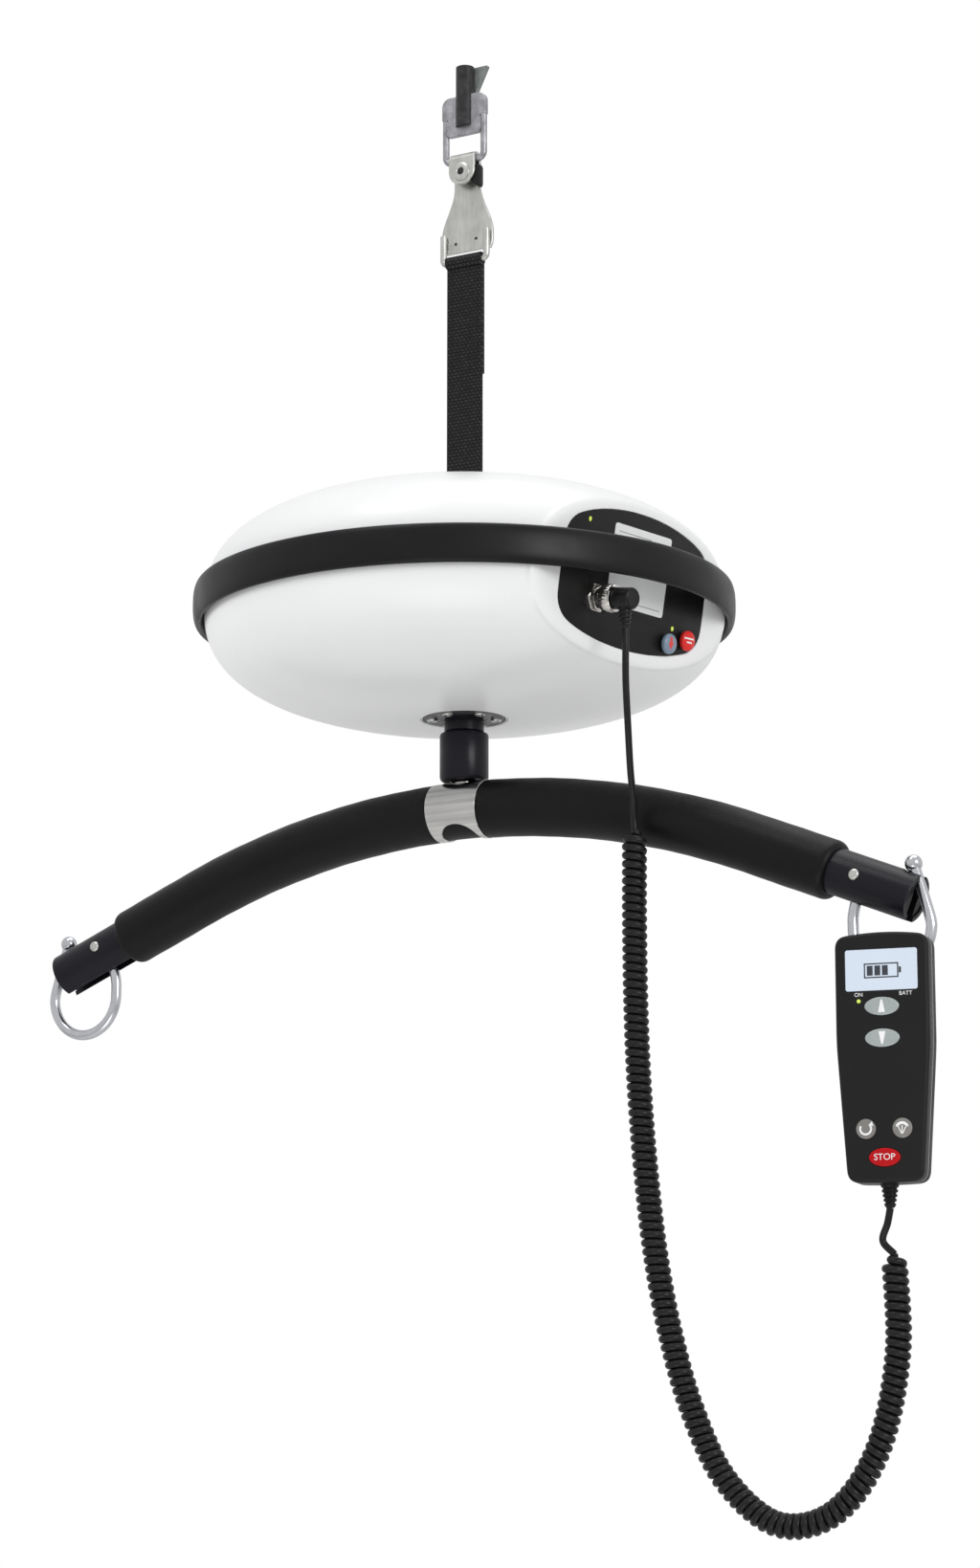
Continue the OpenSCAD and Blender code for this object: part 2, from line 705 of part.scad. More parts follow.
module strap_roll() color("#202020") at_body() translate([0, drum_y, drum_z]) difference() {
    across_x(roll_r, -strap_w / 2, strap_w / 2);
    across_x(core_r + seat, -strap_w, strap_w);
}

module battery_pack() color("steelblue") at_body() for (p = battery_places)
    translate([p[0], p[1], chassis_foot + chassis_t]) cube(battery);

module control_board() color("seagreen") on_panel() translate([0, 0, -bezel_t - board_back]) {
    translate([0, 0, -board_t]) linear_extrude(height = board_t) polygon(box_outline(board_h, board_w));
    for (x = [-1, 1], y = [-1, 1]) translate([x * (board_h / 2 - post_in), y * (board_w / 2 - post_in), 0])
        cylinder(r = post_r, h = board_back);
}

module limit_switch() color("#303030") at_body()
    translate([-switch_size[0] / 2, strap_y - guide_d / 2 - switch_size[1], body_h - guide_h])
        cube(switch_size);

// Six cap screws through the flange, the pocket's floor and the chassis
module screw_ring(r, z0, z1) for (a = [30:60:330]) rotate([0, 0, a])
    translate([flange_d / 2 - screw_in, 0, z0]) cylinder(r = r, h = z1 - z0);
module flange_screws() color("silver") at_body() {
    screw_ring(screw_r, -pocket_floor - flange_t, chassis_foot + chassis_t);
    screw_ring(screw_head_r, -pocket_floor - flange_t - screw_head_t, -pocket_floor - flange_t);
}

module swivel_flange() color("#1a1a1a") at_body() difference() {
    union() {
        translate([0, 0, -pocket_floor - flange_t]) cylinder(d = flange_d, h = flange_t);
        translate([0, 0, neck_foot]) cylinder(d = neck_d, h = -pocket_floor - neck_foot);
    }
    translate([0, 0, -2 * body_h]) cylinder(r = pin_r + run_gap, h = 2 * body_h);
    screw_ring(screw_r + seat, -body_h, 0);
}

module swivel_sleeve() color("#1a1a1a") at_body() difference() {
    translate([0, 0, sleeve_foot]) cylinder(d = sleeve_d, h = sleeve_len);
    translate([0, 0, sleeve_foot - 1]) cylinder(r = pin_r + seat, h = sleeve_len + 2);
}

module swivel_pin() color("lightgray") at_body() {
    collar_foot = chassis_foot + chassis_t + gap;
    translate([0, 0, bar_z]) cylinder(r = pin_r, h = collar_foot - bar_z);
    translate([0, 0, collar_foot]) cylinder(r = collar_r, h = collar_t);
}

// Stretches of the bar: a bend between two angles from the middle, and a straight arm
module bar_bend(r, from, to) translate([0, 0, bar_z - bend_r]) rotate([90, 0, 0])
    rotate([0, 0, 90 - to]) rotate_extrude(angle = to - from, $fn = 128)
        translate([bend_r, 0]) circle(r = r, $fn = 64);
module on_arm(side) translate([side * arm_x, 0, bar_z - arm_drop])
    rotate([0, side * (90 + arm_slope), 0]) children();
module bar_arm(side, r, len, from = 0) on_arm(side) translate([0, 0, from]) cylinder(r = r, h = len - from);
module bend_seam(side, r) on_arm(side) translate([0, 0, -seam]) cylinder(r = r + run_gap, h = 2 * seam);
module arm_slot(side, len, lower_only) on_arm(side)
    translate([lower_only ? (side > 0 ? 0 : -tube_d) : -tube_d, -slot_w / 2, arm_len - len])
        cube([lower_only ? tube_d : 2 * tube_d, slot_w, len + 1]);
module loop_pivots(r) for (s = [-1, 1]) translate([s * pivot_x, 0, pivot_z]) across_y(r, -tube_d, tube_d);
module pin_hole() translate([0, 0, bar_z]) cylinder(r = pin_r + seat, h = foam_d);

module bar_tube() color("#1a1a1a") at_body() difference() {
    union() {
        bar_bend(tube_r, -arm_slope, arm_slope);
        for (s = [-1, 1]) {
            bar_arm(s, tube_r, arm_len);
            bend_seam(s, tube_r);
        }
    }
    bar_bend(tube_r - tube_t, -arm_slope, arm_slope);
    for (s = [-1, 1]) {
        bar_arm(s, tube_r - tube_t, arm_len + 1);
        bend_seam(s, tube_r - tube_t);
        arm_slot(s, slot_len, true);
        arm_slot(s, slot_top, false);
    }
    loop_pivots(loop_rivet_r + seat);
    pin_hole();
}

module foam_sleeve(side) at_body() difference() {
    start = band_half + run_gap;
    union() {
        bar_bend(foam_r, side > 0 ? start : -arm_slope, side > 0 ? arm_slope : -start);
        bar_arm(side, foam_r, foam_end);
        bend_seam(side, foam_r);
    }
    bar_bend(tube_r + seat, -arm_slope, arm_slope);
    bar_arm(side, tube_r + seat, foam_end + 1);
    bend_seam(side, tube_r + seat);
}
module foam_left() color("#242424") foam_sleeve(-1);
module foam_right() color("#242424") foam_sleeve(1);

module centre_band() color("silver") at_body() difference() {
    bar_bend(foam_r, -band_half, band_half);
    bar_bend(tube_r + seat, -2 * band_half, 2 * band_half);
    pin_hole();
    translate([0, 0, bar_z - foam_r - band_cut_drop]) across_y(band_cut_r, -foam_d, foam_d);
}

module end_plug(side) at_body() difference() {
    bar_arm(side, tube_r - tube_t - seat, arm_len - plug_back, arm_len - slot_len - plug_in);
    on_arm(side) translate([-tube_d, -slot_w / 2, arm_len - slot_len])
        cube([2 * tube_d, slot_w, slot_len + 1]);
    loop_pivots(loop_rivet_r + seat);
}
module end_plug_left() color("#101010") end_plug(-1);
module end_plug_right() color("#101010") end_plug(1);

module loop_rivets() color("silver") at_body() for (s = [-1, 1]) translate([s * pivot_x, 0, pivot_z]) {
    across_y(loop_rivet_r, -tube_r - seat, tube_r + seat);
    across_y(loop_rivet_head, -tube_r - seat - loop_rivet_head_t, -tube_r - seat);
    across_y(loop_rivet_head, tube_r + seat, tube_r + seat + loop_rivet_head_t);
}

// A bent rod: an eye on the rivet, a leg, a round foot and an outer leg that ends in a ball
module sling_loop(side) on_loop(side) difference() {
    heel = [loop_in, 0, loop_centre[1] + loop_leg];
    foot = [loop_in, 0, loop_centre[1]];
    toe = [loop_centre[0] + loop_r, 0, loop_centre[1]];
    ball = [ball_place[0], 0, ball_place[1]];
    union() {
        across_y(eye_r, -slot_w / 2 + eye_side, slot_w / 2 - eye_side);
        rod_to([0, 0, 0], heel, loop_rod_r);
        for (p = [heel, foot, toe]) translate(p) sphere(r = loop_rod_r + seat);
        rod_to(heel, foot, loop_rod_r);
        translate([loop_centre[0], 0, loop_centre[1]]) rotate([90, 0, 0]) rotate([0, 0, 180])
            rotate_extrude(angle = 180) translate([loop_r, 0]) circle(r = loop_rod_r);
        rod_to(toe, ball, loop_rod_r);
        translate(ball) sphere(d = ball_d);
    }
    across_y(loop_rivet_r + run_gap, -slot_w, slot_w);
}
module sling_loop_left() color("silver") sling_loop(-1);
module sling_loop_right() color("silver") sling_loop(1);

// Handset faces: every key is an outline at its place on the front
key_sizes = [oval, oval, round_key, round_key, stop_oval];
function key_outlines(grow) = [
    for (i = [0:len(key_places) - 1]) place(oval_outline(key_sizes[i] + [grow, grow]), key_places[i])
];
function place(points, at) = [for (p = points) p + at];
module handset_key(i) in_handset()
    upright(wall_front - key_stand, wall_front + key_depth, key_outlines(0)[i]);

module handset_front() color("#2b2b2b") in_handset() difference() {
    upright(wall_front, 0, rounded(taper_outline(0), handset_corner));
    upright(wall_front + handset_wall, 1,
        rounded(taper_outline(handset_wall), handset_corner - handset_wall));
    upright(wall_front - 1, wall_front + lens_t,
        place(rounded(box_outline(lens_size[0] + 2 * seat, lens_size[1] + 2 * seat), lens_corner),
            [0, lens_z]));
    for (outline = key_outlines(2 * gap)) upright(wall_front - 1, 0, outline);
    translate([lamp_place[0], 0, lamp_place[1]]) across_y(lamp_r + seat, wall_front - 1, 0);
}

module handset_rear() color("#2b2b2b") in_handset() difference() {
    upright(0, handset_t / 2, rounded(taper_outline(0), handset_corner));
    upright(-1, handset_t / 2 - handset_wall,
        rounded(taper_outline(handset_wall), handset_corner - handset_wall));
    handset_screw_places() across_y(handset_screw_r + seat, 0, handset_t);
}

module display_lens() color("lightsteelblue") in_handset() upright(wall_front, wall_front + lens_t,
    place(rounded(box_outline(lens_size[0], lens_size[1]), lens_corner), [0, lens_z]));

module handset_lamp() color("limegreen") in_handset() translate([lamp_place[0], 0, lamp_place[1]])
    across_y(lamp_r, wall_front - lamp_r / 3, handset_board_y);

module handset_board() color("seagreen") in_handset() {
    upright(handset_board_y, handset_board_y + board_t,
        rounded(taper_outline(handset_wall + gap), handset_corner - handset_wall));
    for (p = key_places) translate([p[0], 0, p[1]])
        across_y(dome_r, handset_board_y - dome_t, handset_board_y);
}

module handset_screw_places() for (x = [-1, 1], z = [-1, 1])
    translate([
        x * (handset_foot_w / 2 - handset_screw_in[0]), 0, z * (handset_h / 2 - handset_screw_in[1])
    ]) children();
module handset_screws() color("silver") in_handset() handset_screw_places()
    across_y(handset_screw_r, handset_board_y + board_t, handset_t / 2);

// A belt clip on the back that hangs over the round foot of the sling loop
module handset_clip() color("#151515") in_handset()
    translate([-clip_w / 2, handset_t / 2, clip_top - handset_z]) {
    translate([0, 0, -clip_base_h]) cube([clip_w, clip_base, clip_base_h]);
    translate([0, 0, -clip_t]) cube([clip_w, clip_gap + clip_t, clip_t]);
    translate([0, clip_gap, -clip_len]) cube([clip_w, clip_t, clip_len]);
}

module handset_gland() color("#151515") in_handset() translate([0, 0, -handset_h / 2 - gland_len])
    cylinder(r1 = cord_d / 2 + cord_ease, r2 = gland_r, h = gland_len);

module up_button() color("silver") handset_key(0);
module down_button() color("silver") handset_key(1);
module return_button() color("gray") handset_key(2);
module descend_button() color("gray") handset_key(3);
module stop_button() color("crimson") handset_key(4);

module coupling_ring() color("silver") on_panel(socket_place) translate([0, 0, socket_len]) difference() {
    cylinder(r = coupling_r, h = coupling_len);
    translate([0, 0, -1]) cylinder(r = nose_r + seat, h = coupling_len + 2);
}

module plug_body() color("#181818") on_panel(socket_place) translate([0, 0, socket_len]) {
    cylinder(r = nose_r, h = coupling_len);
    translate([0, 0, coupling_len]) cylinder(d = plug_w, h = plug_w);
    translate([0, 0, coupling_len + plug_w / 2]) rotate([0, 90 - panel_tilt, 0]) {
        cylinder(r = relief_r, h = plug_w / 2);
        translate([0, 0, plug_w / 2]) cylinder(r1 = relief_r, r2 = cord_d / 2 + cord_ease, h = relief_len);
    }
}

module cord_upper() color("#202020") cord_tube(upper_route, -1);
module cord_lower() color("#202020") cord_tube(lower_route, 1);

// One strand wound round the curl's route, straight for one diameter at both ends
module curly_cord() color("#202020") {
    fine = 12;
    samples = (len(curl_route) - 1) * fine;
    places = [for (i = [0:samples]) route_at(curl_route, i / fine)];
    lengths = sums([for (i = [0:samples - 1]) norm(places[i + 1] - places[i])]);
    table = [for (i = [0:samples]) [lengths[i], i / fine]];
    total = lengths[samples];
    count = curls * rings_per_curl;
    ease = 3 * cord_d;
    strand = [
        for (i = [0:count])
            let (
                s = total * i / count,
                u = lookup(s, table),
                c = route_at(curl_route, u),
                ahead = unit(route_at(curl_route, min(u + 0.02, len(curl_route) - 1))
                    - route_at(curl_route, max(u - 0.02, 0))),
                side = unit(cross([0, 1, 0], ahead)),
                front = cross(ahead, side),
                turn = -360 * i / rings_per_curl,
                out = side * cos(turn) + front * sin(turn),
                near = min(s, total - s) - cord_d,
                lift = max(0, min(1, near / ease))
            )
            [c + helix_r * lift * out, out]
    ];
    rings = [
        for (i = [0:count])
            let (
                t = i == 0 ? [0, 0, -1] : i == count ? [0, 0, 1] : unit(strand[i + 1][0] - strand[i - 1][0]),
                u = unit(strand[i][1] - (strand[i][1] * t) * t),
                v = cross(t, u)
            )
            each ring(strand[i][0], u, v, cord_d / 2, curl_sides)
    ];
    along = sums([for (i = [0:count - 1]) norm(strand[i + 1][0] - strand[i][0])]);
    least = min([
        for (i = [0:count]) for (j = [i + 1:min(i + 2 * rings_per_curl, count)])
            if (along[j] - along[i] > 3 * cord_d) norm(strand[i][0] - strand[j][0])
    ]) - cord_d;
    echo(curl_length = total, strand_length = along[count], least_gap = least);
    polyhedron(points = rings, faces = tube_faces(count + 1, curl_sides), convexity = 20);
}

hanger_rod();
hanger_gusset();
hanger_plate();
hanger_loop();
hook_plate();
hook_rivet();
strap_bar();
safety_latch();
lift_strap();
upper_shell();
lower_shell();
bumper_ring();
panel_bezel();
control_panel();
label_plate();
panel_lamps();
panel_socket();
strap_guide();
chassis();
gear_motor();
drum_bearing();
battery_pack();
control_board();
limit_switch();
swivel_flange();
flange_screws();
drum();
strap_roll();
emergency_stop();
lowering_button();
swivel_sleeve();
swivel_pin();
centre_band();
bar_tube();
foam_left();
foam_right();
end_plug_left();
end_plug_right();
loop_rivets();
sling_loop_left();
sling_loop_right();
handset_front();
handset_rear();
display_lens();
handset_lamp();
handset_board();
handset_clip();
handset_screws();
handset_gland();
up_button();
down_button();
return_button();
descend_button();
stop_button();
plug_body();
coupling_ring();
cord_upper();
curly_cord();
cord_lower();
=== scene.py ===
import math

import bmesh
import bpy
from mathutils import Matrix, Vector


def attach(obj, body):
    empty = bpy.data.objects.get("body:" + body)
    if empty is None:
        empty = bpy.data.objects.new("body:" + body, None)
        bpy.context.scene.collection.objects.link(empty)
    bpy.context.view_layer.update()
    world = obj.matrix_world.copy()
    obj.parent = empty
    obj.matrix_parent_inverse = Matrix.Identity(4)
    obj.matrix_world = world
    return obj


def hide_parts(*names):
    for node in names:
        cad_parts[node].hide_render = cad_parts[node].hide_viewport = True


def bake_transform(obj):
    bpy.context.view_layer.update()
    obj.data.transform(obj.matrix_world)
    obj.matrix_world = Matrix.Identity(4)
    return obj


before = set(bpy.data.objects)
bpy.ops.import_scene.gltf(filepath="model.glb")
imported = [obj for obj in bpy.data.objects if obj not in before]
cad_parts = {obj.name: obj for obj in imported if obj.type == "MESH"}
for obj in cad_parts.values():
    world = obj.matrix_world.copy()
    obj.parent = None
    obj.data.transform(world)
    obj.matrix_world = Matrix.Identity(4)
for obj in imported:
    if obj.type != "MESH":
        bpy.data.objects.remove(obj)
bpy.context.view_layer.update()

# Stand point and light
# The hoist hangs from a rail, seen from a little below its bar and 31 degrees to its right.
# A pale floor lies below its lowest reach, and soft lamps stand at both sides and overhead.
IMAGE_H, FOCAL_PX, SENSOR = 1639, 3944.4, 36.0
STAND_AT, LOOK_UP, LOOK_LEFT = (1.2444, -2.0711, -0.9711), 0.1947, math.radians(31) - 0.007
SKY, SKY_SEEN, SKY_MIRRORED = 0.66, 0.34, 0.12
FLOOR_Z, FLOOR_HALF = -2.95, 9.0


def wire(node, inputs):
    """Sets a shader node's inputs: a socket is linked, anything else is a constant"""
    for key, value in inputs.items():
        if isinstance(value, bpy.types.NodeSocket):
            node.id_data.links.new(value, node.inputs[key])
        else:
            node.inputs[key].default_value = value
    return node


def add_node(tree, kind, inputs):
    return wire(tree.nodes.new("ShaderNode" + kind), inputs)


def new_paint(name):
    """A new material and the node that shades it"""
    made = bpy.data.materials.new(name)
    made.use_nodes = True
    return made, made.node_tree.nodes["Principled BSDF"]


def oblong(half_w, half_h, mid=0.0):
    """The corners of a rectangle that is centred across and lies about a middle line"""
    return [(-half_w, mid - half_h), (half_w, mid - half_h), (half_w, mid + half_h), (-half_w, mid + half_h)]


scene = bpy.context.scene
scene.view_settings.view_transform = "Standard"
lens = bpy.data.cameras.new("stand_point")
lens.sensor_fit = "VERTICAL"
lens.sensor_height = SENSOR
lens.lens = FOCAL_PX / IMAGE_H * SENSOR
lens.clip_end = 100
stand = bpy.data.objects.new("stand_point", lens)
stand.location = STAND_AT
stand.rotation_euler = (math.pi / 2 + LOOK_UP, 0, LOOK_LEFT)
scene.collection.objects.link(stand)
scene.camera = stand

world = bpy.data.worlds.new("studio")
scene.world = world
world.use_nodes = True
tree = world.node_tree
tree.nodes.clear()
rays = add_node(tree, "LightPath", {})
level = SKY
for ray, more in (("Is Camera Ray", SKY_SEEN), ("Is Transmission Ray", SKY_SEEN), ("Is Glossy Ray", SKY_MIRRORED)):
    step = add_node(tree, "Math", {})
    step.operation = "MULTIPLY_ADD"
    level = wire(step, {0: rays.outputs[ray], 1: more, 2: level}).outputs[0]
sky = add_node(tree, "Background", {"Color": (1, 1, 1, 1), "Strength": level})
add_node(tree, "OutputWorld", {"Surface": sky.outputs[0]})

for name, place, aim, size, power in (
    ("left_lamp", (-2.2, -2.6, 0.6), (0, 0, -0.45), 1.8, 42),
    ("right_lamp", (2.9, -1.2, 0.2), (0.1, 0, -0.5), 1.4, 33),
    ("top_lamp", (0.3, 0.4, 2.2), (0, 0, -0.4), 2.2, 22),
    ("low_lamp", (0.6, -1.6, -2.4), (0.1, 0, -0.6), 1.6, 9),
    ("rim_lamp", (-0.3, -1.0, 1.45), (0.2, 0, -0.56), 0.6, 6),
):
    light = bpy.data.lights.new(name, "AREA")
    light.shape = "DISK"
    light.size = size
    light.energy = power
    lamp = bpy.data.objects.new(name, light)
    lamp.location = place
    lamp.rotation_euler = (Vector(aim) - Vector(place)).to_track_quat("-Z", "Y").to_euler()
    lamp.visible_glossy = name != "left_lamp"
    lamp.visible_diffuse = name != "rim_lamp"
    scene.collection.objects.link(lamp)

floor_mesh = bpy.data.meshes.new("floor")
floor_mesh.from_pydata([(x, y, FLOOR_Z) for x, y in oblong(FLOOR_HALF, FLOOR_HALF)], [], [(0, 1, 2, 3)])
floor = bpy.data.objects.new("floor", floor_mesh)
scene.collection.objects.link(floor)
floor_paint, skin = new_paint("pale_floor")
wire(skin, {"Base Color": (0.86, 0.86, 0.86, 1), "Roughness": 0.9})
floor_mesh.materials.append(floor_paint)

# Hanger
# A turned steel rod, cut flat at its foot and welded to a zinc plate with a small gusset beside it.
# A bent round bar is welded into two notches of the plate and carries the hook.
MM = 0.001
PLATE_TOP, PLATE_FOOT, PLATE_W, PLATE_T, PLATE_CORNER, PLATE_EDGE = -20.0, -48.0, 34.0, 4.0, 6.0, 0.4
BAR_R, HANG_Z, LOOP_LEG, LOOP_BEND, WELD_LEN = 2.25, -66.25, 14.75, 4.45, 12.0


def finish(name, colour, rough, metal=0.0, grain=600.0, stretch=(1, 1, 1), vary=0.12, rough_vary=0.08,
           bump=0.15, depth=0.0003, cloud=25.0, cloud_vary=0.06, shine=0.5):
    """A surface with grain: fine noise drives tone and height, slow noise shifts the colour and the gloss"""
    made, skin = new_paint(name)
    tree = made.node_tree
    place = add_node(tree, "TexCoord", {}).outputs["Object"]
    turn = add_node(tree, "Mapping", {"Vector": place, "Scale": [grain * s for s in stretch]})
    fine = add_node(tree, "TexNoise", {"Vector": turn.outputs["Vector"], "Scale": 1.0, "Detail": 4.0}).outputs["Fac"]
    slow = add_node(tree, "TexNoise", {"Vector": place, "Scale": cloud, "Detail": 3.0}).outputs["Fac"]
    tone = add_node(tree, "ValToRGB", {"Fac": fine})
    for mark, at, share in zip(tone.color_ramp.elements, (0.3, 0.7), (1 - vary, 1 + vary)):
        mark.position = at
        mark.color = [min(1, c * share) for c in colour] + [1]

    def by_cloud(least, most):
        spread = add_node(tree, "MapRange", {"Value": slow, "From Min": 0.2, "From Max": 0.8,
                                             "To Min": least, "To Max": most})
        spread.interpolation_type = "SMOOTHSTEP"
        return spread.outputs["Result"]

    cloudy = add_node(tree, "HueSaturation", {
        "Value": by_cloud(1 - cloud_vary, 1 + cloud_vary), "Color": tone.outputs["Color"]})
    height = add_node(tree, "Bump", {"Strength": bump, "Distance": depth, "Height": fine})
    wire(skin, {"Base Color": cloudy.outputs["Color"], "Metallic": metal, "Specular IOR Level": shine,
                "Roughness": by_cloud(max(0.03, rough - rough_vary), min(1, rough + rough_vary)),
                "Normal": height.outputs["Normal"]})
    return made


def smooth(mesh, sharp):
    """Shades a mesh smooth up to a sharp angle"""
    mesh.polygons.foreach_set("use_smooth", [True] * len(mesh.polygons))
    mesh.set_sharp_from_angle(angle=math.radians(sharp))


def skins(name, parts, ring=False, sharp=35):
    """One mesh, in millimetres, of skins that each go over a row of loops with the same number of points"""
    points, faces = [], []
    for loops in parts:
        n, rows, base = len(loops[0]), len(loops), len(points)
        for i in range(rows if ring else rows - 1):
            a, b = base + i * n, base + (i + 1) % rows * n
            faces += [(a + k, a + (k + 1) % n, b + (k + 1) % n, b + k) for k in range(n)]
        if not ring:
            faces += [tuple(range(base, base + n)), tuple(range(base + (rows - 1) * n, base + rows * n))]
        points += [Vector(p) * MM for loop in loops for p in loop]
    mesh = bpy.data.meshes.new(name)
    mesh.from_pydata(points, [], faces)
    build = bmesh.new()
    build.from_mesh(mesh)
    bmesh.ops.remove_doubles(build, verts=build.verts, dist=1e-6)
    bmesh.ops.recalc_face_normals(build, faces=build.faces)
    build.to_mesh(mesh)
    build.free()
    smooth(mesh, sharp)
    made = bpy.data.objects.new(name, mesh)
    scene.collection.objects.link(made)
    return made


def loft(name, loops, ring=False, sharp=35):
    return skins(name, [loops], ring, sharp)


def circle(steps):
    """The cosine and sine of evenly spaced turns all the way round"""
    return [(math.cos(2 * math.pi * k / steps), math.sin(2 * math.pi * k / steps)) for k in range(steps)]


def arc(first, last, steps):
    """The cosine and sine of evenly spaced turns from one angle to another, in degrees, with both ends"""
    turns = [math.radians(first + (last - first) * k / steps) for k in range(steps + 1)]
    return [(math.cos(a), math.sin(a)) for a in turns]


def tube_loops(path, radius, sides):
    """Rings round a path, carried along it without twist; radius is a number or one for each point"""
    path = [Vector(p) for p in path]
    last = len(path) - 1
    ahead = [(path[min(i + 1, last)] - path[max(i - 1, 0)]).normalized() for i in range(last + 1)]
    side = ahead[0].orthogonal().normalized()
    loops = []
    for i, (p, t) in enumerate(zip(path, ahead)):
        side = (side - t * side.dot(t)).normalized()
        over = t.cross(side)
        r = radius[i] if isinstance(radius, list) else radius
        loops.append([p + r * (side * c + over * s) for c, s in circle(sides)])
    return loops


def fit(made, body, slot, paint, *nodes):
    """Gives a piece its finish, the body it rides on and its solids; a blend's two bodies and places are not used,
    and such a piece stays where it stands
    """
    made.data.materials.clear()
    made.data.materials.append(paint)
    if isinstance(body, str):
        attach(made, body)
    else:
        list(body)
        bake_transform(made)
    if nodes:
        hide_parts(*nodes)


def dress(paint, *nodes):
    """Gives CAD solids that stay in view their finish"""
    for node in nodes:
        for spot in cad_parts[node].material_slots:
            spot.material = paint


def rounded(corners, radius, steps=6):
    """A flat outline with each corner turned by an arc; radius is a number or one for each corner"""
    out = []
    for i, p in enumerate(corners):
        p, a, b = Vector(p), Vector(corners[i - 1]), Vector(corners[(i + 1) % len(corners)])
        r = radius[i] if isinstance(radius, list) else radius
        u, v = (a - p).normalized(), (b - p).normalized()
        half = u.angle(v) / 2
        centre = p + (u + v).normalized() * r / math.sin(half)
        start = p + u * r / math.tan(half) - centre
        end = p + v * r / math.tan(half) - centre
        turn = math.atan2(start.x * end.y - start.y * end.x, start.dot(end))
        for k in range(steps + 1):
            c, s = math.cos(turn * k / steps), math.sin(turn * k / steps)
            out.append(centre + Vector((start.x * c - start.y * s, start.x * s + start.y * c)))
    return out


def stack(outline, steps, at):
    """A loop for each (draw, depth): the outline drawn in, square to its edges, and placed by at(x, y, depth)"""
    loops = []
    for draw, depth in steps:
        loop = []
        for i, p in enumerate(outline):
            t = (outline[(i + 1) % len(outline)] - outline[i - 1]).normalized()
            loop.append(at(p.x - t.y * draw, p.y + t.x * draw, depth))
        loops.append(loop)
    return loops


def facing(x, z):
    """Places a shape that looks along Y about a middle: across, up and in"""
    return lambda u, v, depth: (x + u, depth, z + v)


def bar_loop(x, y, top, foot, bend):
    """The path of a U of round bar: down one side, across and up the other"""
    path = [(-x, y, top)] + [(-x + bend + bend * c, y, foot + bend + bend * s) for c, s in arc(180, 270, 8)]
    return path + [(-px, y, pz) for px, y, pz in path[::-1]]


dark_steel = finish("dark_steel", (0.03, 0.028, 0.03), 0.4, shine=0.25, grain=300, vary=0.35, cloud=120,
                    cloud_vary=0.35)
gusset_paint = finish("gusset_grey", (0.2, 0.22, 0.21), 0.55, 0.3, cloud=80, cloud_vary=0.2)
zinc_plate = finish("bracket_steel", (0.38, 0.38, 0.405), 0.45, 0.9, grain=250, vary=0.16, cloud=140,
                    cloud_vary=0.25)
satin_steel = finish("stainless", (0.56, 0.56, 0.54), 0.36, 1.0, grain=500, stretch=(1, 1, 0.15), vary=0.08,
                     rough_vary=0.1, bump=0.08, cloud=90, cloud_vary=0.1)
dress(dark_steel, "hanger_rod")
dress(gusset_paint, "hanger_gusset")

half, notch, step_z = PLATE_W / 2, PLATE_W / 2 - 2 * BAR_R - 0.1, PLATE_FOOT + WELD_LEN + 0.1
outline = rounded(
    [(-notch, PLATE_FOOT), (notch, PLATE_FOOT), (notch, step_z), (half, step_z), (half, PLATE_TOP),
     (-half, PLATE_TOP), (-half, step_z), (-notch, step_z)],
    [0.8, 0.8, 0.6, 0.8, PLATE_CORNER, PLATE_CORNER, 0.8, 0.6])
edge_steps = [(PLATE_EDGE * (1 - c), PLATE_T / 2 - PLATE_EDGE * (1 - s)) for c, s in arc(0, 90, 3)]
edge_steps.append((PLATE_EDGE + 0.15, PLATE_T / 2))
both_edges = [(draw, -y) for draw, y in edge_steps[::-1]] + edge_steps
bracket = loft("hanger_plate_bevelled", stack(outline, both_edges, facing(0, 0)), sharp=50)
fit(bracket, "hanger", "bracket_steel", zinc_plate, "hanger_plate")

hang_path = bar_loop(LOOP_LEG, 0, PLATE_FOOT + WELD_LEN, HANG_Z, LOOP_BEND)
hang_bar = loft("hanging_bar", tube_loops(hang_path, BAR_R, 20))
fit(hang_bar, "hanger", "stainless", zinc_plate, "hanger_loop")
for side, name in ((-1, "left"), (1, "right")):
    bead = tube_loops([(side * (notch + 0.1), -1.6 - 0.2 * (k % 2), PLATE_FOOT + 1 + k) for k in range(11)],
                      [0.3 if k in (0, 10) else 0.7 + 0.15 * (k % 2) for k in range(11)], 10)
    fit(loft("weld_bead_" + name, bead), "hanger", "bracket_steel", zinc_plate)

# Hook
# One stainless plate folded over the hanging bar, closed by a hollow rivet through fold and back.
# A second U of round bar is welded behind its foot for the webbing, and a black latch turns on the rivet.
FOLD_R, HOOK_T, HOOK_EDGE, NECK_HALF, HOOK_HALF, FOOT_DRAW = 2.55, 2.5, 0.6, 10.0, 20.0, 1.6
TAB_LEN, HOOK_FOOT, RIVET_Z, STRAP_Y = 18.0, -129.25, -75.25, 0.2
LATCH_BORE, LATCH_HALF = 3.1, 2.2


def smooth_step(a, b, t):
    """A value that eases from one to another as t goes from 0 to 1"""
    t = max(0.0, min(1.0, t))
    return a + (b - a) * t * t * (3 - 2 * t)


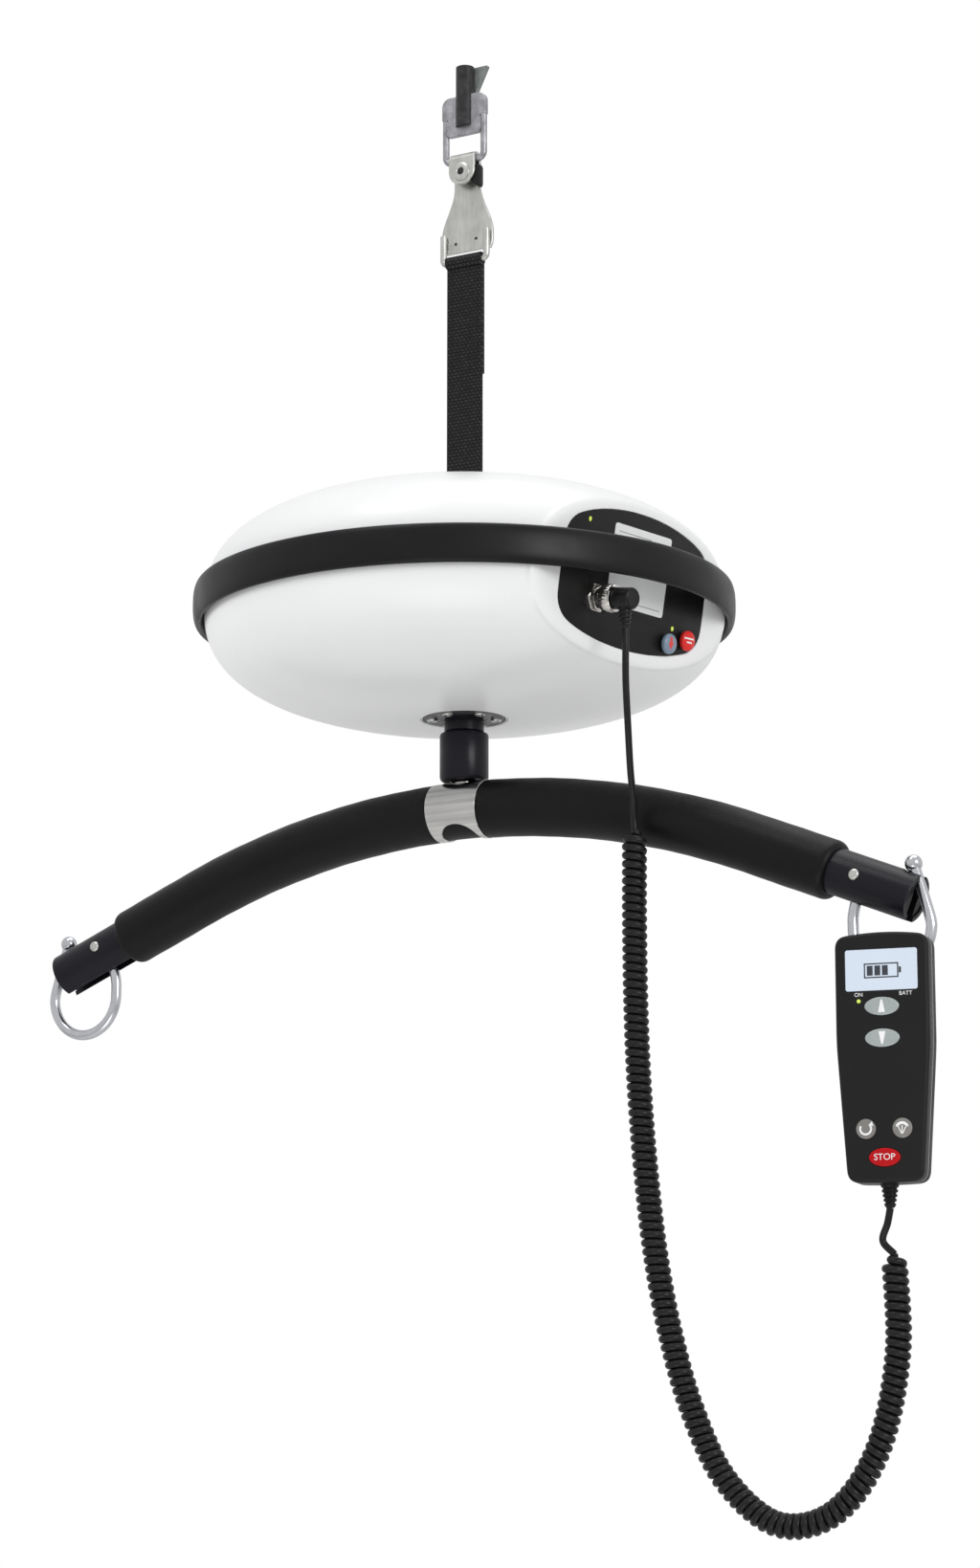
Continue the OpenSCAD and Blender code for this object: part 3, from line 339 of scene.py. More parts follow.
mid, widen = FOLD_R + HOOK_T / 2, HANG_Z - TAB_LEN
stations = [((-mid, widen + NECK_HALF * (1 - c)), (0, -1), NECK_HALF * s) for c, s in arc(0, 90, 8)[1:]]
stations.append(((-mid, HANG_Z), (0, -1), NECK_HALF))
stations += [((mid * c, HANG_Z + mid * s), (-s, c), NECK_HALF) for c, s in arc(180, 0, 13)[1:-1]]
stations.append(((mid, HANG_Z), (0, 1), NECK_HALF))
for k in range(21):
    grow = smooth_step(NECK_HALF, HOOK_HALF, k / 15) - FOOT_DRAW * max(0.0, (k - 17) / 3) ** 2
    stations.append(((mid, widen + (HOOK_FOOT - widen) * k / 20), (0, 1), grow))
loops = []
for (y, z), (ahead_y, ahead_z), w in stations:
    edge, h = min(HOOK_EDGE, w * 0.4), HOOK_T / 2
    corner = [(-w, h - edge), (-w + edge, h), (-w + 1.4 * edge, h)]
    face = corner + [(-x, out) for x, out in corner[::-1]]
    loops.append([(x, y + ahead_z * out, z - ahead_y * out) for x, out in face + [(-x, -out) for x, out in face]])
fit(loft("hook_plate_folded", loops, sharp=50), "hook", "stainless", satin_steel, "hook_plate")


def lathe_loops(profile, steps, at):
    """Circles for each (radius, height) of a turned profile, placed by at(x, y, height)"""
    return [[at(r * c, r * s, h) for c, s in circle(steps)] for r, h in profile]


def turned(name, profile, steps, at, ring=False, sharp=35):
    return loft(name, lathe_loops(profile, steps, at), ring, sharp)


back, on_rivet = FOLD_R + HOOK_T, facing(0, RIVET_Z)
rivet = turned("hook_rivet_hollow", [
    (2.5, -back + 1.5), (2.5, -back - 1.0), (2.8, -back - 1.4), (3.3, -back - 1.5), (5.6, -back - 1.3),
    (6.3, -back - 0.8), (6.5, -back - 0.05), (3.0, -back), (3.0, back), (6.5, back + 0.05), (6.3, back + 0.9),
    (5.2, back + 1.5), (2.8, back + 1.4), (2.5, back + 1.0), (2.5, back - 1.5)], 40, on_rivet, ring=True)
fit(rivet, "hook", "stainless", satin_steel, "hook_rivet")
# Painted shade: a dark steel plug fills the hollow rivet's hole and stands in for the shade inside it.
rivet_hole_shade = turned("rivet_hole_painted_shade", [(2.6, -back - 0.95), (2.6, back + 0.95)], 32, on_rivet)
fit(rivet_hole_shade, "hook", "stainless", dark_steel)

strap_leg, strap_bar_z = HOOK_HALF - BAR_R - 1, HOOK_FOOT - 8
strap_path = bar_loop(strap_leg, STRAP_Y, HOOK_FOOT + 12, strap_bar_z, 3.25)
fit(loft("webbing_bar", tube_loops(strap_path, BAR_R, 20)), "hook", "stainless", satin_steel, "strap_bar")
# Painted shade: two thin dark discs on the hook's face stand in for the shade inside its pressed dimples.
dimple_shade_profile = [(r, FOLD_R + h) for r, h in ((0.15, -0.06), (0.6, -0.06), (0.8, -0.14), (1.0, -0.14), (1.2, 0.1))]
for name, x, z in (("left", -8.6, -123.0), ("right", 7.2, -121.5)):
    dimple_shade_disc = turned("dimple_painted_shade_" + name, dimple_shade_profile, 20, facing(x, z))
    fit(dimple_shade_disc, "hook", "stainless", dark_steel)


def by_rays(line, rays):
    """The outline's points where evenly turned rays from its middle cross it"""
    out = []
    for c, s in circle(rays):
        best = 0.0
        for i, p in enumerate(line):
            run = line[(i + 1) % len(line)] - p
            cross = c * run.y - s * run.x
            if abs(cross) > 1e-9 and -1e-6 <= (p.x * s - p.y * c) / cross <= 1 + 1e-6:
                best = max(best, (p.x * run.y - p.y * run.x) / cross)
        out.append(Vector((c, s)) * best)
    return out


black_plastic = finish("black_plastic", (0.008, 0.008, 0.009), 0.42, grain=900, vary=0.2, bump=0.12, shine=0.25)
lever = [(-4.4, -4.4), (3, -4.4), (10.4, -11.5), (12.6, -11.5), (13.2, -9.5), (13.2, 2.4), (12, 4.4), (-4.4, 4.4)]
loops = stack(by_rays(rounded(lever, 1.0), 96), (
    (0.5, -LATCH_HALF), (0.1, -1.9), (0.0, -1.6), (0.0, 1.6), (0.1, 1.9), (0.5, LATCH_HALF)), on_rivet)
loops += lathe_loops([(LATCH_BORE, LATCH_HALF), (LATCH_BORE, -LATCH_HALF)], 96, on_rivet)
latch = loft("safety_latch_lever", loops, ring=True, sharp=40)
fit(latch, "latch", "black_plastic", black_plastic, "safety_latch")

# Webbing
# Black polyester webbing, looped round the hook's bar and sewn back on itself for about 80 mm.
# It runs down through the guide in the body's top and pays out from the drum as the hoist moves.
STRAP_W, STRAP_T, LOOP_BORE, PICK = 27.0, 2.2, 2.55, 1.5
SEWN_END, STRAP_FOOT, GUIDE_TOP = -220.0, -384.0, -303.0
STITCH_ROWS, STITCH_PITCH, STITCH_LEN = (-9.5, -3.2, 3.2, 9.5), 3.6, 2.4


def weave_strip(name, y_mid, thick, top, foot, rows):
    """A band whose two faces rise and fall in a twill: columns of threads that cross every other pick"""
    columns = [-1.0, -0.985, -0.94, -0.9] + [-0.84 + 1.68 * k / 22 for k in range(23)] + [0.9, 0.94, 0.985, 1.0]
    loops = []
    for i in range(rows + 1):
        z = top + (foot - top) * i / rows
        ring = []
        for face in (-1, 1):
            for k, c in enumerate(columns[::-face]):
                edge, rim = abs(c) > 0.88, abs(c) > 0.99
                lift = 0.02 if edge else 0.16 if (i + 2 * k) % 4 < 2 else -0.02
                h = thick / 2 * (0.35 if rim else 0.92 if edge else 0.86) + lift
                sway = 0.12 * math.sin(i * 0.9) if rim else 0
                ring.append((c * STRAP_W / 2 + sway, y_mid + face * h, z))
        loops.append(ring)
    return loft(name, loops, sharp=70)


webbing = finish("webbing", (0.028, 0.028, 0.03), 0.62, grain=1500, stretch=(1, 1, 0.3), vary=0.35, bump=0.3,
                 cloud=60, cloud_vary=0.12, shine=0.16)
tree = webbing.node_tree
skin = tree.nodes["Principled BSDF"]
place = add_node(tree, "TexCoord", {}).outputs["Object"]
upright = add_node(tree, "Mapping", {"Vector": place, "Rotation": (-math.pi / 2, 0, 0)})
# Painted shade: the brick pattern darkens the narrow gaps between thread floats, where shade falls in the weave; the
# floats themselves vary at random between two tones.
weave_gap_shade = add_node(tree, "TexBrick", {
    "Vector": upright.outputs["Vector"], "Scale": 1 / MM, "Brick Width": 2 * PICK, "Row Height": 1.5 * PICK,
    "Mortar Size": 0.5, "Mortar Smooth": 0.4, "Color1": (1, 1, 1, 1), "Color2": (0.6, 0.6, 0.6, 1),
    "Mortar": (0.05, 0.05, 0.05, 1)})
shade = add_node(tree, "MixRGB", {
    "Fac": 1.0, "Color1": skin.inputs["Base Color"].links[0].from_socket, "Color2": weave_gap_shade.outputs["Color"]})
shade.blend_type = "MULTIPLY"
wire(skin, {"Base Color": shade.outputs["Color"], "Sheen Weight": 0.06})

run_top = strap_bar_z - LOOP_BORE - STRAP_T / 2
strap = weave_strip("webbing_run", STRAP_Y, STRAP_T, run_top, STRAP_FOOT, int((run_top - STRAP_FOOT) / PICK))
fit(strap, ("hook", "hoist", (0, STRAP_Y * MM, SEWN_END * MM), (0, STRAP_Y * MM, GUIDE_TOP * MM)), "webbing", webbing,
    "lift_strap")
loops = []
spread = [-1, -0.97, -0.9] + [-0.8 + 0.2 * k for k in range(9)] + [0.9, 0.97, 1]
for i, (c, s) in enumerate(arc(-90, 270, 32)[:-1]):
    ring = []
    for face in (-1, 1):
        for x in spread[::-face]:
            h = STRAP_T / 2 * (0.4 if abs(x) > 0.99 else 0.92) + (0.07 if i % 2 else 0)
            r = LOOP_BORE + STRAP_T / 2 + face * h
            ring.append((x * STRAP_W / 2, STRAP_Y + r * c, strap_bar_z + r * s))
    loops.append(ring)
fit(loft("webbing_eye", loops, ring=True, sharp=70), "hook", "webbing", webbing)
lap = weave_strip("webbing_lap", STRAP_Y + STRAP_T * 0.98, STRAP_T * 0.96, run_top + 1.2, SEWN_END + 3, 52)
fit(lap, "hook", "webbing", webbing)
thread = finish("sewing_thread", (0.018, 0.018, 0.019), 0.5, grain=3000, vary=0.2, shine=0.2)
stitches, stitch_y = [], STRAP_Y - STRAP_T / 2 - 0.1
for x in STITCH_ROWS:
    for k in range(21):
        z = SEWN_END + 6 + k * STITCH_PITCH
        ends = [(x, stitch_y, z), (x, stitch_y - 0.18, z + STITCH_LEN / 2), (x, stitch_y, z + STITCH_LEN)]
        stitches.append(tube_loops(ends, [0.12, 0.24, 0.12], 6))
fit(skins("webbing_stitches", stitches), "hook", "webbing", thread)

# Body shells
# Two white moulded ABS shells meet at the mid plane under the bumper ring.
# The right front is cut off flat for the control panel, and a round pocket below takes the swivel.
BODY_Z, BODY_R, BODY_H, BODY_FULL, SHELL_T, JOINT_HALF = -378.0, 171.0, 74.0, 2.55, 3.0, 0.12
TOP_HOLE, POCKET_HOLE, POCKET_R = 4.0, 26.0, 27.5
PANEL_D, PANEL_TURN, PANEL_LEAN, BEZEL_T = 144.0, math.radians(80 - 90), math.radians(10), 5.0
PANEL_AHEAD = Vector((math.cos(PANEL_TURN), math.sin(PANEL_TURN), 0))
PANEL_SIDE = Vector((-math.sin(PANEL_TURN), math.cos(PANEL_TURN), 0))
PANEL_OUT = PANEL_AHEAD * math.cos(PANEL_LEAN) - Vector((0, 0, math.sin(PANEL_LEAN)))
PANEL_UP = PANEL_AHEAD * math.sin(PANEL_LEAN) + Vector((0, 0, math.cos(PANEL_LEAN)))
PANEL_AT = PANEL_AHEAD * PANEL_D + Vector((0, 0, BODY_Z))
GUIDE_HALF, GUIDE_CORNER, CUT_HALF, CUT_DEEP, GAP = (18.0, 5.6), 4.0, (220, 120), 100, 0.1


def on_panel(y, z, out):
    """A place on the control panel: along it, up it, and out from its face"""
    return PANEL_AT + PANEL_SIDE * y + PANEL_UP * z + PANEL_OUT * out


def body_at(x, y, h):
    """A place in the body, at a height over its mid plane"""
    return (x, y, BODY_Z + h)


def cut(made, *cutters):
    """Takes other pieces out of a piece and deletes them"""
    for cutter in cutters:
        step = made.modifiers.new("cut", "BOOLEAN")
        step.operation = "DIFFERENCE"
        step.solver = "EXACT"
        step.object = cutter
    bpy.context.view_layer.update()
    mesh = bpy.data.meshes.new_from_object(made.evaluated_get(bpy.context.evaluated_depsgraph_get()))
    made.modifiers.clear()
    made.data = mesh
    smooth(mesh, 35)
    for cutter in cutters:
        bpy.data.objects.remove(cutter)


def shell_profile(radius, height, up, least):
    """Points of a quarter of the body's outline, from its rim at the joint to near its pole"""
    line = []
    for c, s in arc(0, 90, 60)[:-1]:
        r = radius * c ** (2 / BODY_FULL)
        if r < least:
            break
        line.append((r, up * height * s ** (2 / BODY_FULL)))
    return [(line[0][0], JOINT_HALF * up)] + line[1:]


white_shell = finish("white_shell", (0.83, 0.835, 0.84), 0.3, grain=1400, vary=0.012, rough_vary=0.0, bump=0.05,
                     depth=0.0001, cloud=14, cloud_vary=0.012)
for up, name, least in ((1, "upper_shell", TOP_HOLE), (-1, "lower_shell", POCKET_HOLE)):
    outer = shell_profile(BODY_R, BODY_H, up, least)
    inner = shell_profile(BODY_R - SHELL_T, BODY_H - SHELL_T, up, least)
    shell = turned(name + "_moulded", outer + inner[::-1], 220, body_at, ring=True)
    facet = loft("facet_block", [[on_panel(y, z, out - BEZEL_T - GAP) for y, z in oblong(*CUT_HALF)]
                                 for out in (0, CUT_DEEP)])
    if up > 0:
        mouth = rounded(oblong(GUIDE_HALF[0] + GAP, GUIDE_HALF[1] + GAP, STRAP_Y), GUIDE_CORNER + GAP)
        hole = loft("mouth_block", [[(p.x, p.y, z) for p in mouth] for z in (-380, -280)])
    else:
        hole = turned("pocket_block", [(POCKET_R, -90), (POCKET_R, -60)], 96, body_at)
    cut(shell, facet, hole)
    fit(shell, "hoist", "white_shell", white_shell, name)
pocket = turned("pocket_lining", [
    (POCKET_R, -73.5), (27.8, -73.3), (30.0, -71.4), (30.0, -64.1), (8.0, -64.1), (8.0, -68.0), (27.3, -68.0),
    (POCKET_R, -68.2)], 96, body_at, ring=True)
fit(pocket, "hoist", "white_shell", white_shell)

# Bumper ring
# One closed ring of black rubber-faced plastic with a rounded section, pressed over the shells' joint.
# It stands free in front of the panel, so a hand can reach the keys behind it.
RING_IN, RING_DEPTH, RING_H, RING_FULL = 171.3, 7.0, 25.0, 2.6


def swell(c, power):
    """A cosine or sine that is made fuller by a power under 1"""
    return math.copysign(abs(c) ** power, c)


section = [(RING_IN + RING_DEPTH / 2 * (1 + swell(c, 2 / RING_FULL)), RING_H / 2 * swell(s, 2 / RING_FULL))
           for c, s in circle(44)]
ring_rubber = finish("black_rubber", (0.006, 0.006, 0.007), 0.38, shine=0.2, grain=900, vary=0.15, rough_vary=0.07,
                     bump=0.1, depth=0.0001, cloud=30, cloud_vary=0.1)
bumper = turned("bumper_ring_round", section, 260, body_at, ring=True, sharp=60)
fit(bumper, "hoist", "black_rubber", ring_rubber, "bumper_ring")

# Control panel
# A white bezel closes the flat with a soft rim, and a black foil panel lies flush in it.
# The panel holds a plain white plate, two lamps, the cord's socket and two push buttons.
PANEL_HALF, RIM_TOP, RIM_FOOT, RIM_H, RIM_IN = 72.6, 5.8, 6.6, 3.4, 6.5
FACE_MID, FACE_HALF, RAYS = -5.0, (80, 45), 144
STOP_AT, LOWERING_AT, SOCKET_AT = (56.0, -32.49), (38.0, -37.49), (-36.0, -21.49)
LABEL_AT, LABEL_HALF, RULE_LEFT, RULE_HALF = (2.5, 3.3), (28.5, 25.69), -24.5, 0.25
LAMPS_AT, LAMP_WIDE, LAMP_HIGH = ((-51.0, 25.99), (43.0, -26.99)), 0.65, 0.9
BUTTON_R, BUTTON_STEM, BUTTON_REST, BUTTON_RIM, BUTTON_DOME = 6.5, 3.25, 1.8, 3.8, 2.4


def facet_reach(y, z, aim_y, aim_z, out):
    """How far the body goes on from a place in a plane along the panel, found by halving"""
    near, far = 0.0, 140.0
    for _ in range(40):
        half = (near + far) / 2
        p = on_panel(y + aim_y * half, z + aim_z * half, out)
        fill = (math.hypot(p.x, p.y) / BODY_R) ** BODY_FULL + (abs(p.z - BODY_Z) / BODY_H) ** BODY_FULL
        near, far = (half, far) if fill < 1 else (near, half)
    return near


def facet_edge(out):
    """The outline of the body's cut face, by evenly turned rays from the face's middle"""
    return [Vector((c, s)) * facet_reach(0, FACE_MID, c, s, out) for c, s in circle(RAYS)]


def quarters(line):
    """Cuts a line's corners: the points at a quarter and at three quarters of each of its stretches"""
    return [q for a, b in zip(line, line[1:]) for q in (a.lerp(b, 0.25), a.lerp(b, 0.75))]


def panel_outline():
    """The foil's edge: it follows the cut face at a rim's distance and ends in two upright sides"""
    across = [PANEL_HALF * (1 - k / 30) for k in range(61)]
    line = [Vector((y, facet_reach(y, FACE_MID, 0, 1, 0) - RIM_TOP)) for y in across]
    line += [Vector((y, RIM_FOOT - facet_reach(y, FACE_MID, 0, -1, 0))) for y in across[::-1]]
    for _ in range(4):
        keep = []
        for q in quarters(line + line[:1]):
            if not keep or (q - keep[-1]).length > 0.25:
                keep.append(q)
        line = keep
    return line


def eased(line, reach):
    """Rounds an outline's corners: each point moves to the mean of its neighbours on both sides"""
    near = range(-reach, reach + 1)
    return [sum((line[(i + k) % len(line)] for k in near), Vector((0, 0))) / len(near) for i in range(len(line))]


def face_loops(edge, steps):
    """Loops along an edge of the panel, each drawn in toward the face's middle and set at a depth"""
    return [[on_panel(p.x * (1 - draw / FACE_HALF[0]), FACE_MID + p.y * (1 - draw / FACE_HALF[1]), out) for p in edge]
            for draw, out in steps]


def panel_spot(at):
    """Places a shape on the panel about a middle: along, up and out"""
    return lambda u, v, out: on_panel(at[0] + u, at[1] + v, out)


foil_edge = eased(by_rays(panel_outline(), RAYS), 3)
loops = face_loops(facet_edge(-BEZEL_T - GAP), ((0.8, -BEZEL_T - 0.3), (0, -BEZEL_T - GAP)))
loops += face_loops(facet_edge(-RIM_H), [(RIM_IN * (1 - c), RIM_H * s - RIM_H) for c, s in arc(0, 90, 7)])
loops += face_loops(foil_edge, ((-0.9, 0.0), (-0.4, -0.08), (-0.1, -0.3), (0.0, -0.6), (0.0, -2.2), (7.0, -2.2),
                                (7.0, -BEZEL_T - 0.3)))
bezel = loft("panel_bezel_rounded", loops, ring=True, sharp=40)
fit(bezel, "hoist", "white_shell", white_shell, "panel_bezel")

panel_foil = finish("panel_foil", (0.006, 0.006, 0.006), 0.42, shine=0.22, grain=1800, vary=0.25, bump=0.12,
                    cloud=60, cloud_vary=0.1)
foil = loft("control_panel_foil", face_loops(
    foil_edge, ((0.35, -2.0), (0.35, -0.45), (0.45, -0.25), (0.75, -0.12))), sharp=40)
cut(foil, *(turned("hole", [(r, -6), (r, 6)], 40, panel_spot(at))
            for at, r in ((STOP_AT, 3.6), (LOWERING_AT, 3.6), (SOCKET_AT, 8.1))))
fit(foil, "hoist", "panel_foil", panel_foil, "control_panel")

label_white = finish("white_label", (0.78, 0.79, 0.79), 0.4, grain=1500, vary=0.03, bump=0.05)
rule_grey = finish("rule_grey", (0.25, 0.26, 0.28), 0.5, grain=1500, vary=0.06)
on_label = panel_spot(LABEL_AT)
loops = stack(rounded(oblong(*LABEL_HALF), 2.0), ((0, -0.1), (0, 0.3), (0.12, 0.45), (0.4, 0.5)), on_label)
fit(loft("label_plate_bevelled", loops), "hoist", "white_label", label_white, "label_plate")
for k, (right, z) in enumerate(((24.5, 17.5), (8, 20.8), (24.5, -22))):
    line = [(RULE_LEFT, z - RULE_HALF), (right, z - RULE_HALF), (right, z + RULE_HALF), (RULE_LEFT, z + RULE_HALF)]
    rule = loft("label_rule_%d" % k, [[on_label(y, v, out) for y, v in line] for out in (0.45, 0.56)])
    fit(rule, "hoist", "white_label", rule_grey)

lamp_lens = finish("lamp_green", (0.5, 0.62, 0.1), 0.25, grain=800, vary=0.1, bump=0.03)
wire(lamp_lens.node_tree.nodes["Principled BSDF"], {"Emission Color": (0.6, 0.8, 0.1, 1), "Emission Strength": 0.35})
lamps = skins("panel_lamps_domed", [
    lathe_loops([(1.8, -2.0), (1.8, 0.0), (1.6, 0.35), (1.0, 0.55), (0.2, 0.6)], 24,
                lambda u, v, out: on_panel(y + LAMP_WIDE * u, z + LAMP_HIGH * v, out))
    for y, z in LAMPS_AT])
fit(lamps, "hoist", "lamp_green", lamp_lens, "panel_lamps")

plated = finish("plated_metal", (0.62, 0.6, 0.57), 0.16, 1.0, grain=500, vary=0.06, rough_vary=0.06, bump=0.05,
                cloud=150, cloud_vary=0.1)
on_socket = panel_spot(SOCKET_AT)
socket = turned("panel_socket_turned", [
    (4.0, 5.2), (4.0, 7.8), (4.3, 8.0), (6.6, 8.0), (6.9, 7.7), (6.9, 3.6), (7.3, 3.4), (7.9, 3.2), (8.0, 2.9),
    (8.0, -4.8), (3.0, -4.8), (3.0, 5.2)], 56, on_socket, ring=True, sharp=30)
fit(socket, "hoist", "plated_metal", plated, "panel_socket")
nut_edge = rounded([(9.6 * c, 9.6 * s) for c, s in circle(6)], 1.2, 4)
nut = loft("socket_nut", [[on_socket(p.x * share, p.y * share, out) for p in nut_edge] for share, out in (
    (1.0, -0.1), (1.0, 1.5), (0.95, 1.9), (0.845, 2.0))], sharp=30)
fit(nut, "hoist", "plated_metal", plated)

red_button = finish("red_button", (0.72, 0.025, 0.022), 0.36, shine=0.25, grain=1200, vary=0.06, bump=0.05)
blue_key = finish("blue_button", (0.19, 0.26, 0.34), 0.35, grain=1200, vary=0.06, bump=0.05)
mark_white = finish("mark_white", (0.8, 0.8, 0.8), 0.45, grain=1500, vary=0.03)
mark_red = finish("mark_red", (0.7, 0.05, 0.04), 0.4, grain=1500, vary=0.05)
button_profile = [
    (BUTTON_STEM, BUTTON_REST - 9.0), (BUTTON_STEM, BUTTON_REST), (BUTTON_R - 0.3, BUTTON_REST),
    (BUTTON_R, BUTTON_REST + 0.3), (BUTTON_R, BUTTON_RIM - 0.1),
    *((BUTTON_R * c, BUTTON_RIM + BUTTON_DOME * s) for c, s in arc(0, 90, 10)[1:-1]), (0.1, BUTTON_RIM + BUTTON_DOME)]
for name, at, slot, paint in (("emergency_stop", STOP_AT, "red_button", red_button),
                              ("lowering_button", LOWERING_AT, "blue_button", blue_key)):
    fit(turned(name + "_cap", button_profile, 48, panel_spot(at), sharp=45), name, slot, paint, name)


def dome_mark(name, corners, at, body, slot, paint):
    """A thin printed shape that follows a button's dome"""
    fine = []
    for p, q in zip(corners, corners[1:] + corners[:1]):
        fine += [Vector(p).lerp(Vector(q), k / 5) for k in range(5)]
    middle = sum(fine, Vector((0, 0))) / len(fine)
    loops = []
    for share, proud in ((0.02, 0.06), (0.35, 0.06), (0.7, 0.06), (1.0, 0.06), (1.0, -0.15)):
        ring = [middle.lerp(p, share) for p in fine]
        domes = [BUTTON_RIM + BUTTON_DOME * math.sqrt(max(0.0, 1 - (p.length / BUTTON_R) ** 2)) for p in ring]
        loops.append([panel_spot(at)(p.x, p.y, dome + proud) for p, dome in zip(ring, domes)])
    fit(loft(name, loops, sharp=60), body, slot, paint)


arrow = [(-3.7, 0.4), (-1.3, -4.2), (1.1, 0.4), (-0.2, 0.4), (-0.2, 4.2), (-2.4, 4.2), (-2.4, 0.4)]
dome_mark("lowering_mark", arrow, LOWERING_AT, "lowering_button", "blue_button", mark_red)
for name, left, right, low in (("stop_mark_upper", -5.3, 3.0, 0.7), ("stop_mark_lower", -3.5, 1.2, -1.8)):
    dome_mark(name, [(left, low), (right, low), (right, low + 1.1), (left, low + 1.1)], STOP_AT, "emergency_stop",
              "red_button", mark_white)

# Strap guide
# A black moulded collar, pressed into the body's top.
# Its slot keeps the webbing straight, and is deep enough for the sewn lap.
GUIDE_FOOT, SLOT_HALF, SLOT_MID = -318.0, (14.7, 3.0), 0.9


def as_it_is(x, y, z):
    return (x, y, z)


collar = [(0.0, GUIDE_FOOT), (0.0, GUIDE_TOP - 0.9), (0.2, GUIDE_TOP - 0.3), (0.7, GUIDE_TOP)]
loops = stack(rounded(oblong(*GUIDE_HALF, STRAP_Y), GUIDE_CORNER), collar, as_it_is)
loops += stack(rounded(oblong(*SLOT_HALF, SLOT_MID), 1.0), [(-draw, z) for draw, z in collar[::-1]], as_it_is)
guide = loft("strap_guide_collar", loops, ring=True, sharp=40)
fit(guide, "hoist", "black_plastic", black_plastic, "strap_guide")

# Inside the body
# A zinc plated chassis carries the gear motor, the drum with its wound webbing, its bearing and the batteries.
# The control board stands on posts behind the panel, and a limit switch sits beside the strap guide.
DRUM_Y, DRUM_Z, ROLL_R, CORE_R, ROLL_HALF, ROLL_STEPS = 43.6, -384.0, 42.0, 20.1, 13.4, 40
zinc_steel = finish("zinc_steel", (0.5, 0.5, 0.51), 0.36, 0.95, grain=350, cloud=60, cloud_vary=0.12)
motor_paint = finish("motor_paint", (0.1, 0.105, 0.115), 0.4, 0.2, grain=900)
battery_case = finish("battery_case", (0.05, 0.12, 0.26), 0.45, grain=900, vary=0.1)
circuit_board = finish("circuit_board", (0.02, 0.16, 0.07), 0.4, grain=350, vary=0.3)
drum_alloy = finish("drum_alloy", (0.6, 0.6, 0.62), 0.3, 1.0, grain=500, stretch=(0.1, 1, 1), vary=0.08)
dress(zinc_steel, "chassis")
dress(motor_paint, "gear_motor")
dress(satin_steel, "drum_bearing")
dress(battery_case, "battery_pack")
dress(circuit_board, "control_board", "handset_board")
dress(black_plastic, "limit_switch")
dress(drum_alloy, "drum")

turns, h = int((ROLL_R - CORE_R) / STRAP_T), STRAP_T * 0.46
corner = [(-ROLL_HALF, -h * 0.6), (0.4 - ROLL_HALF, -h), (ROLL_HALF - 0.4, -h), (ROLL_HALF, -h * 0.6)]
loops = []
for k, (c, s) in enumerate(arc(0, 360 * turns, turns * ROLL_STEPS)):
    r = CORE_R + STRAP_T * 0.55 + (ROLL_R - CORE_R - STRAP_T * 1.05) * k / (turns * ROLL_STEPS)
    loops.append([(x, DRUM_Y - c * (r + out), DRUM_Z - s * (r + out))
                  for x, out in corner + [(-x, -out) for x, out in corner]])
fit(loft("wound_webbing", loops, sharp=50), "drum", "webbing", webbing, "strap_roll")

# Swivel
# A black anodised flange, screwed up into the pocket, ends in a neck that holds the swivel pin.
# The sleeve under it turns with the bar, and the bright pin shows between sleeve and bar.
FLANGE_R, NECK_R, SLEEVE_R, SWIVEL_BORE, SCREW_RING = 27.0, 13.0, 16.0, 7.1, 21.0
black_paint = finish("black_paint", (0.005, 0.005, 0.009), 0.33, shine=0.22, grain=1100, vary=0.15,
                     rough_vary=0.06, bump=0.08)
# Painted reflection: a grey metallic finish for the underside of the black flange.
underside_painted_reflection = finish("underside_painted_reflection", (0.12, 0.12, 0.12), 0.45, 0.6, grain=700, vary=0.15)
flange = turned("swivel_flange_turned", [
    (SWIVEL_BORE, -68.0), (26.8, -68.0), (FLANGE_R, -68.2), (FLANGE_R, -72.4), (26.6, -72.9), (26.2, -73.0),
    (14.4, -73.0), (13.6, -73.2), (NECK_R, -73.8), (NECK_R, -75.6), (12.7, -75.8), (12.7, -76.4), (NECK_R, -76.6),
    (NECK_R, -82.2), (12.4, -83.0), (SWIVEL_BORE, -83.0)], 96, body_at, ring=True, sharp=30)
fit(flange, "hoist", "black_paint", black_paint, "swivel_flange")
# Painted reflection: a thin grey ring under the black flange stands in for the pale surroundings reflected in its
# underside.
underside_reflection_ring = turned("flange_underside_reflection", [(15.2, -73.02), (25.4, -73.02), (25.2, -73.2), (15.4, -73.2)], 96, body_at,
                ring=True, sharp=30)
fit(underside_reflection_ring, "hoist", "black_paint", underside_painted_reflection)
screw_profile = [(2.0, -66.0), (2.0, -73.0), (3.6, -73.0), (3.6, -74.4), (3.2, -75.0), (2.0, -75.0), (1.7, -74.7),
                 (1.7, -73.8), (0.2, -73.7)]
for k, (c, s) in enumerate(arc(30, 330, 5)):
    screw = turned("flange_screw_%d" % k, screw_profile, 28,
                   lambda u, v, h: body_at(SCREW_RING * c + u, SCREW_RING * s + v, h), sharp=30)
    fit(screw, "hoist", "stainless", satin_steel, *(["flange_screws"] if k == 0 else []))
sleeve = turned("swivel_sleeve_turned", [
    (7.15, -83.4), (14.6, -83.4), (15.5, -83.8), (SLEEVE_R, -85.0), (SLEEVE_R, -112.6), (15.4, -114.2),
    (14.2, -115.2), (7.15, -115.2)], 96, body_at, ring=True, sharp=25)
fit(sleeve, "spreader", "black_paint", black_paint, "swivel_sleeve")
dress(plated, "swivel_pin")
ball = turned("swivel_ball", [(7.3, -112.8)] + [(10.6 * c, -112.9 - 4.6 * s) for c, s in arc(0, 48, 6)], 64, body_at,
              ring=True, sharp=60)
fit(ball, "spreader", "stainless", plated)

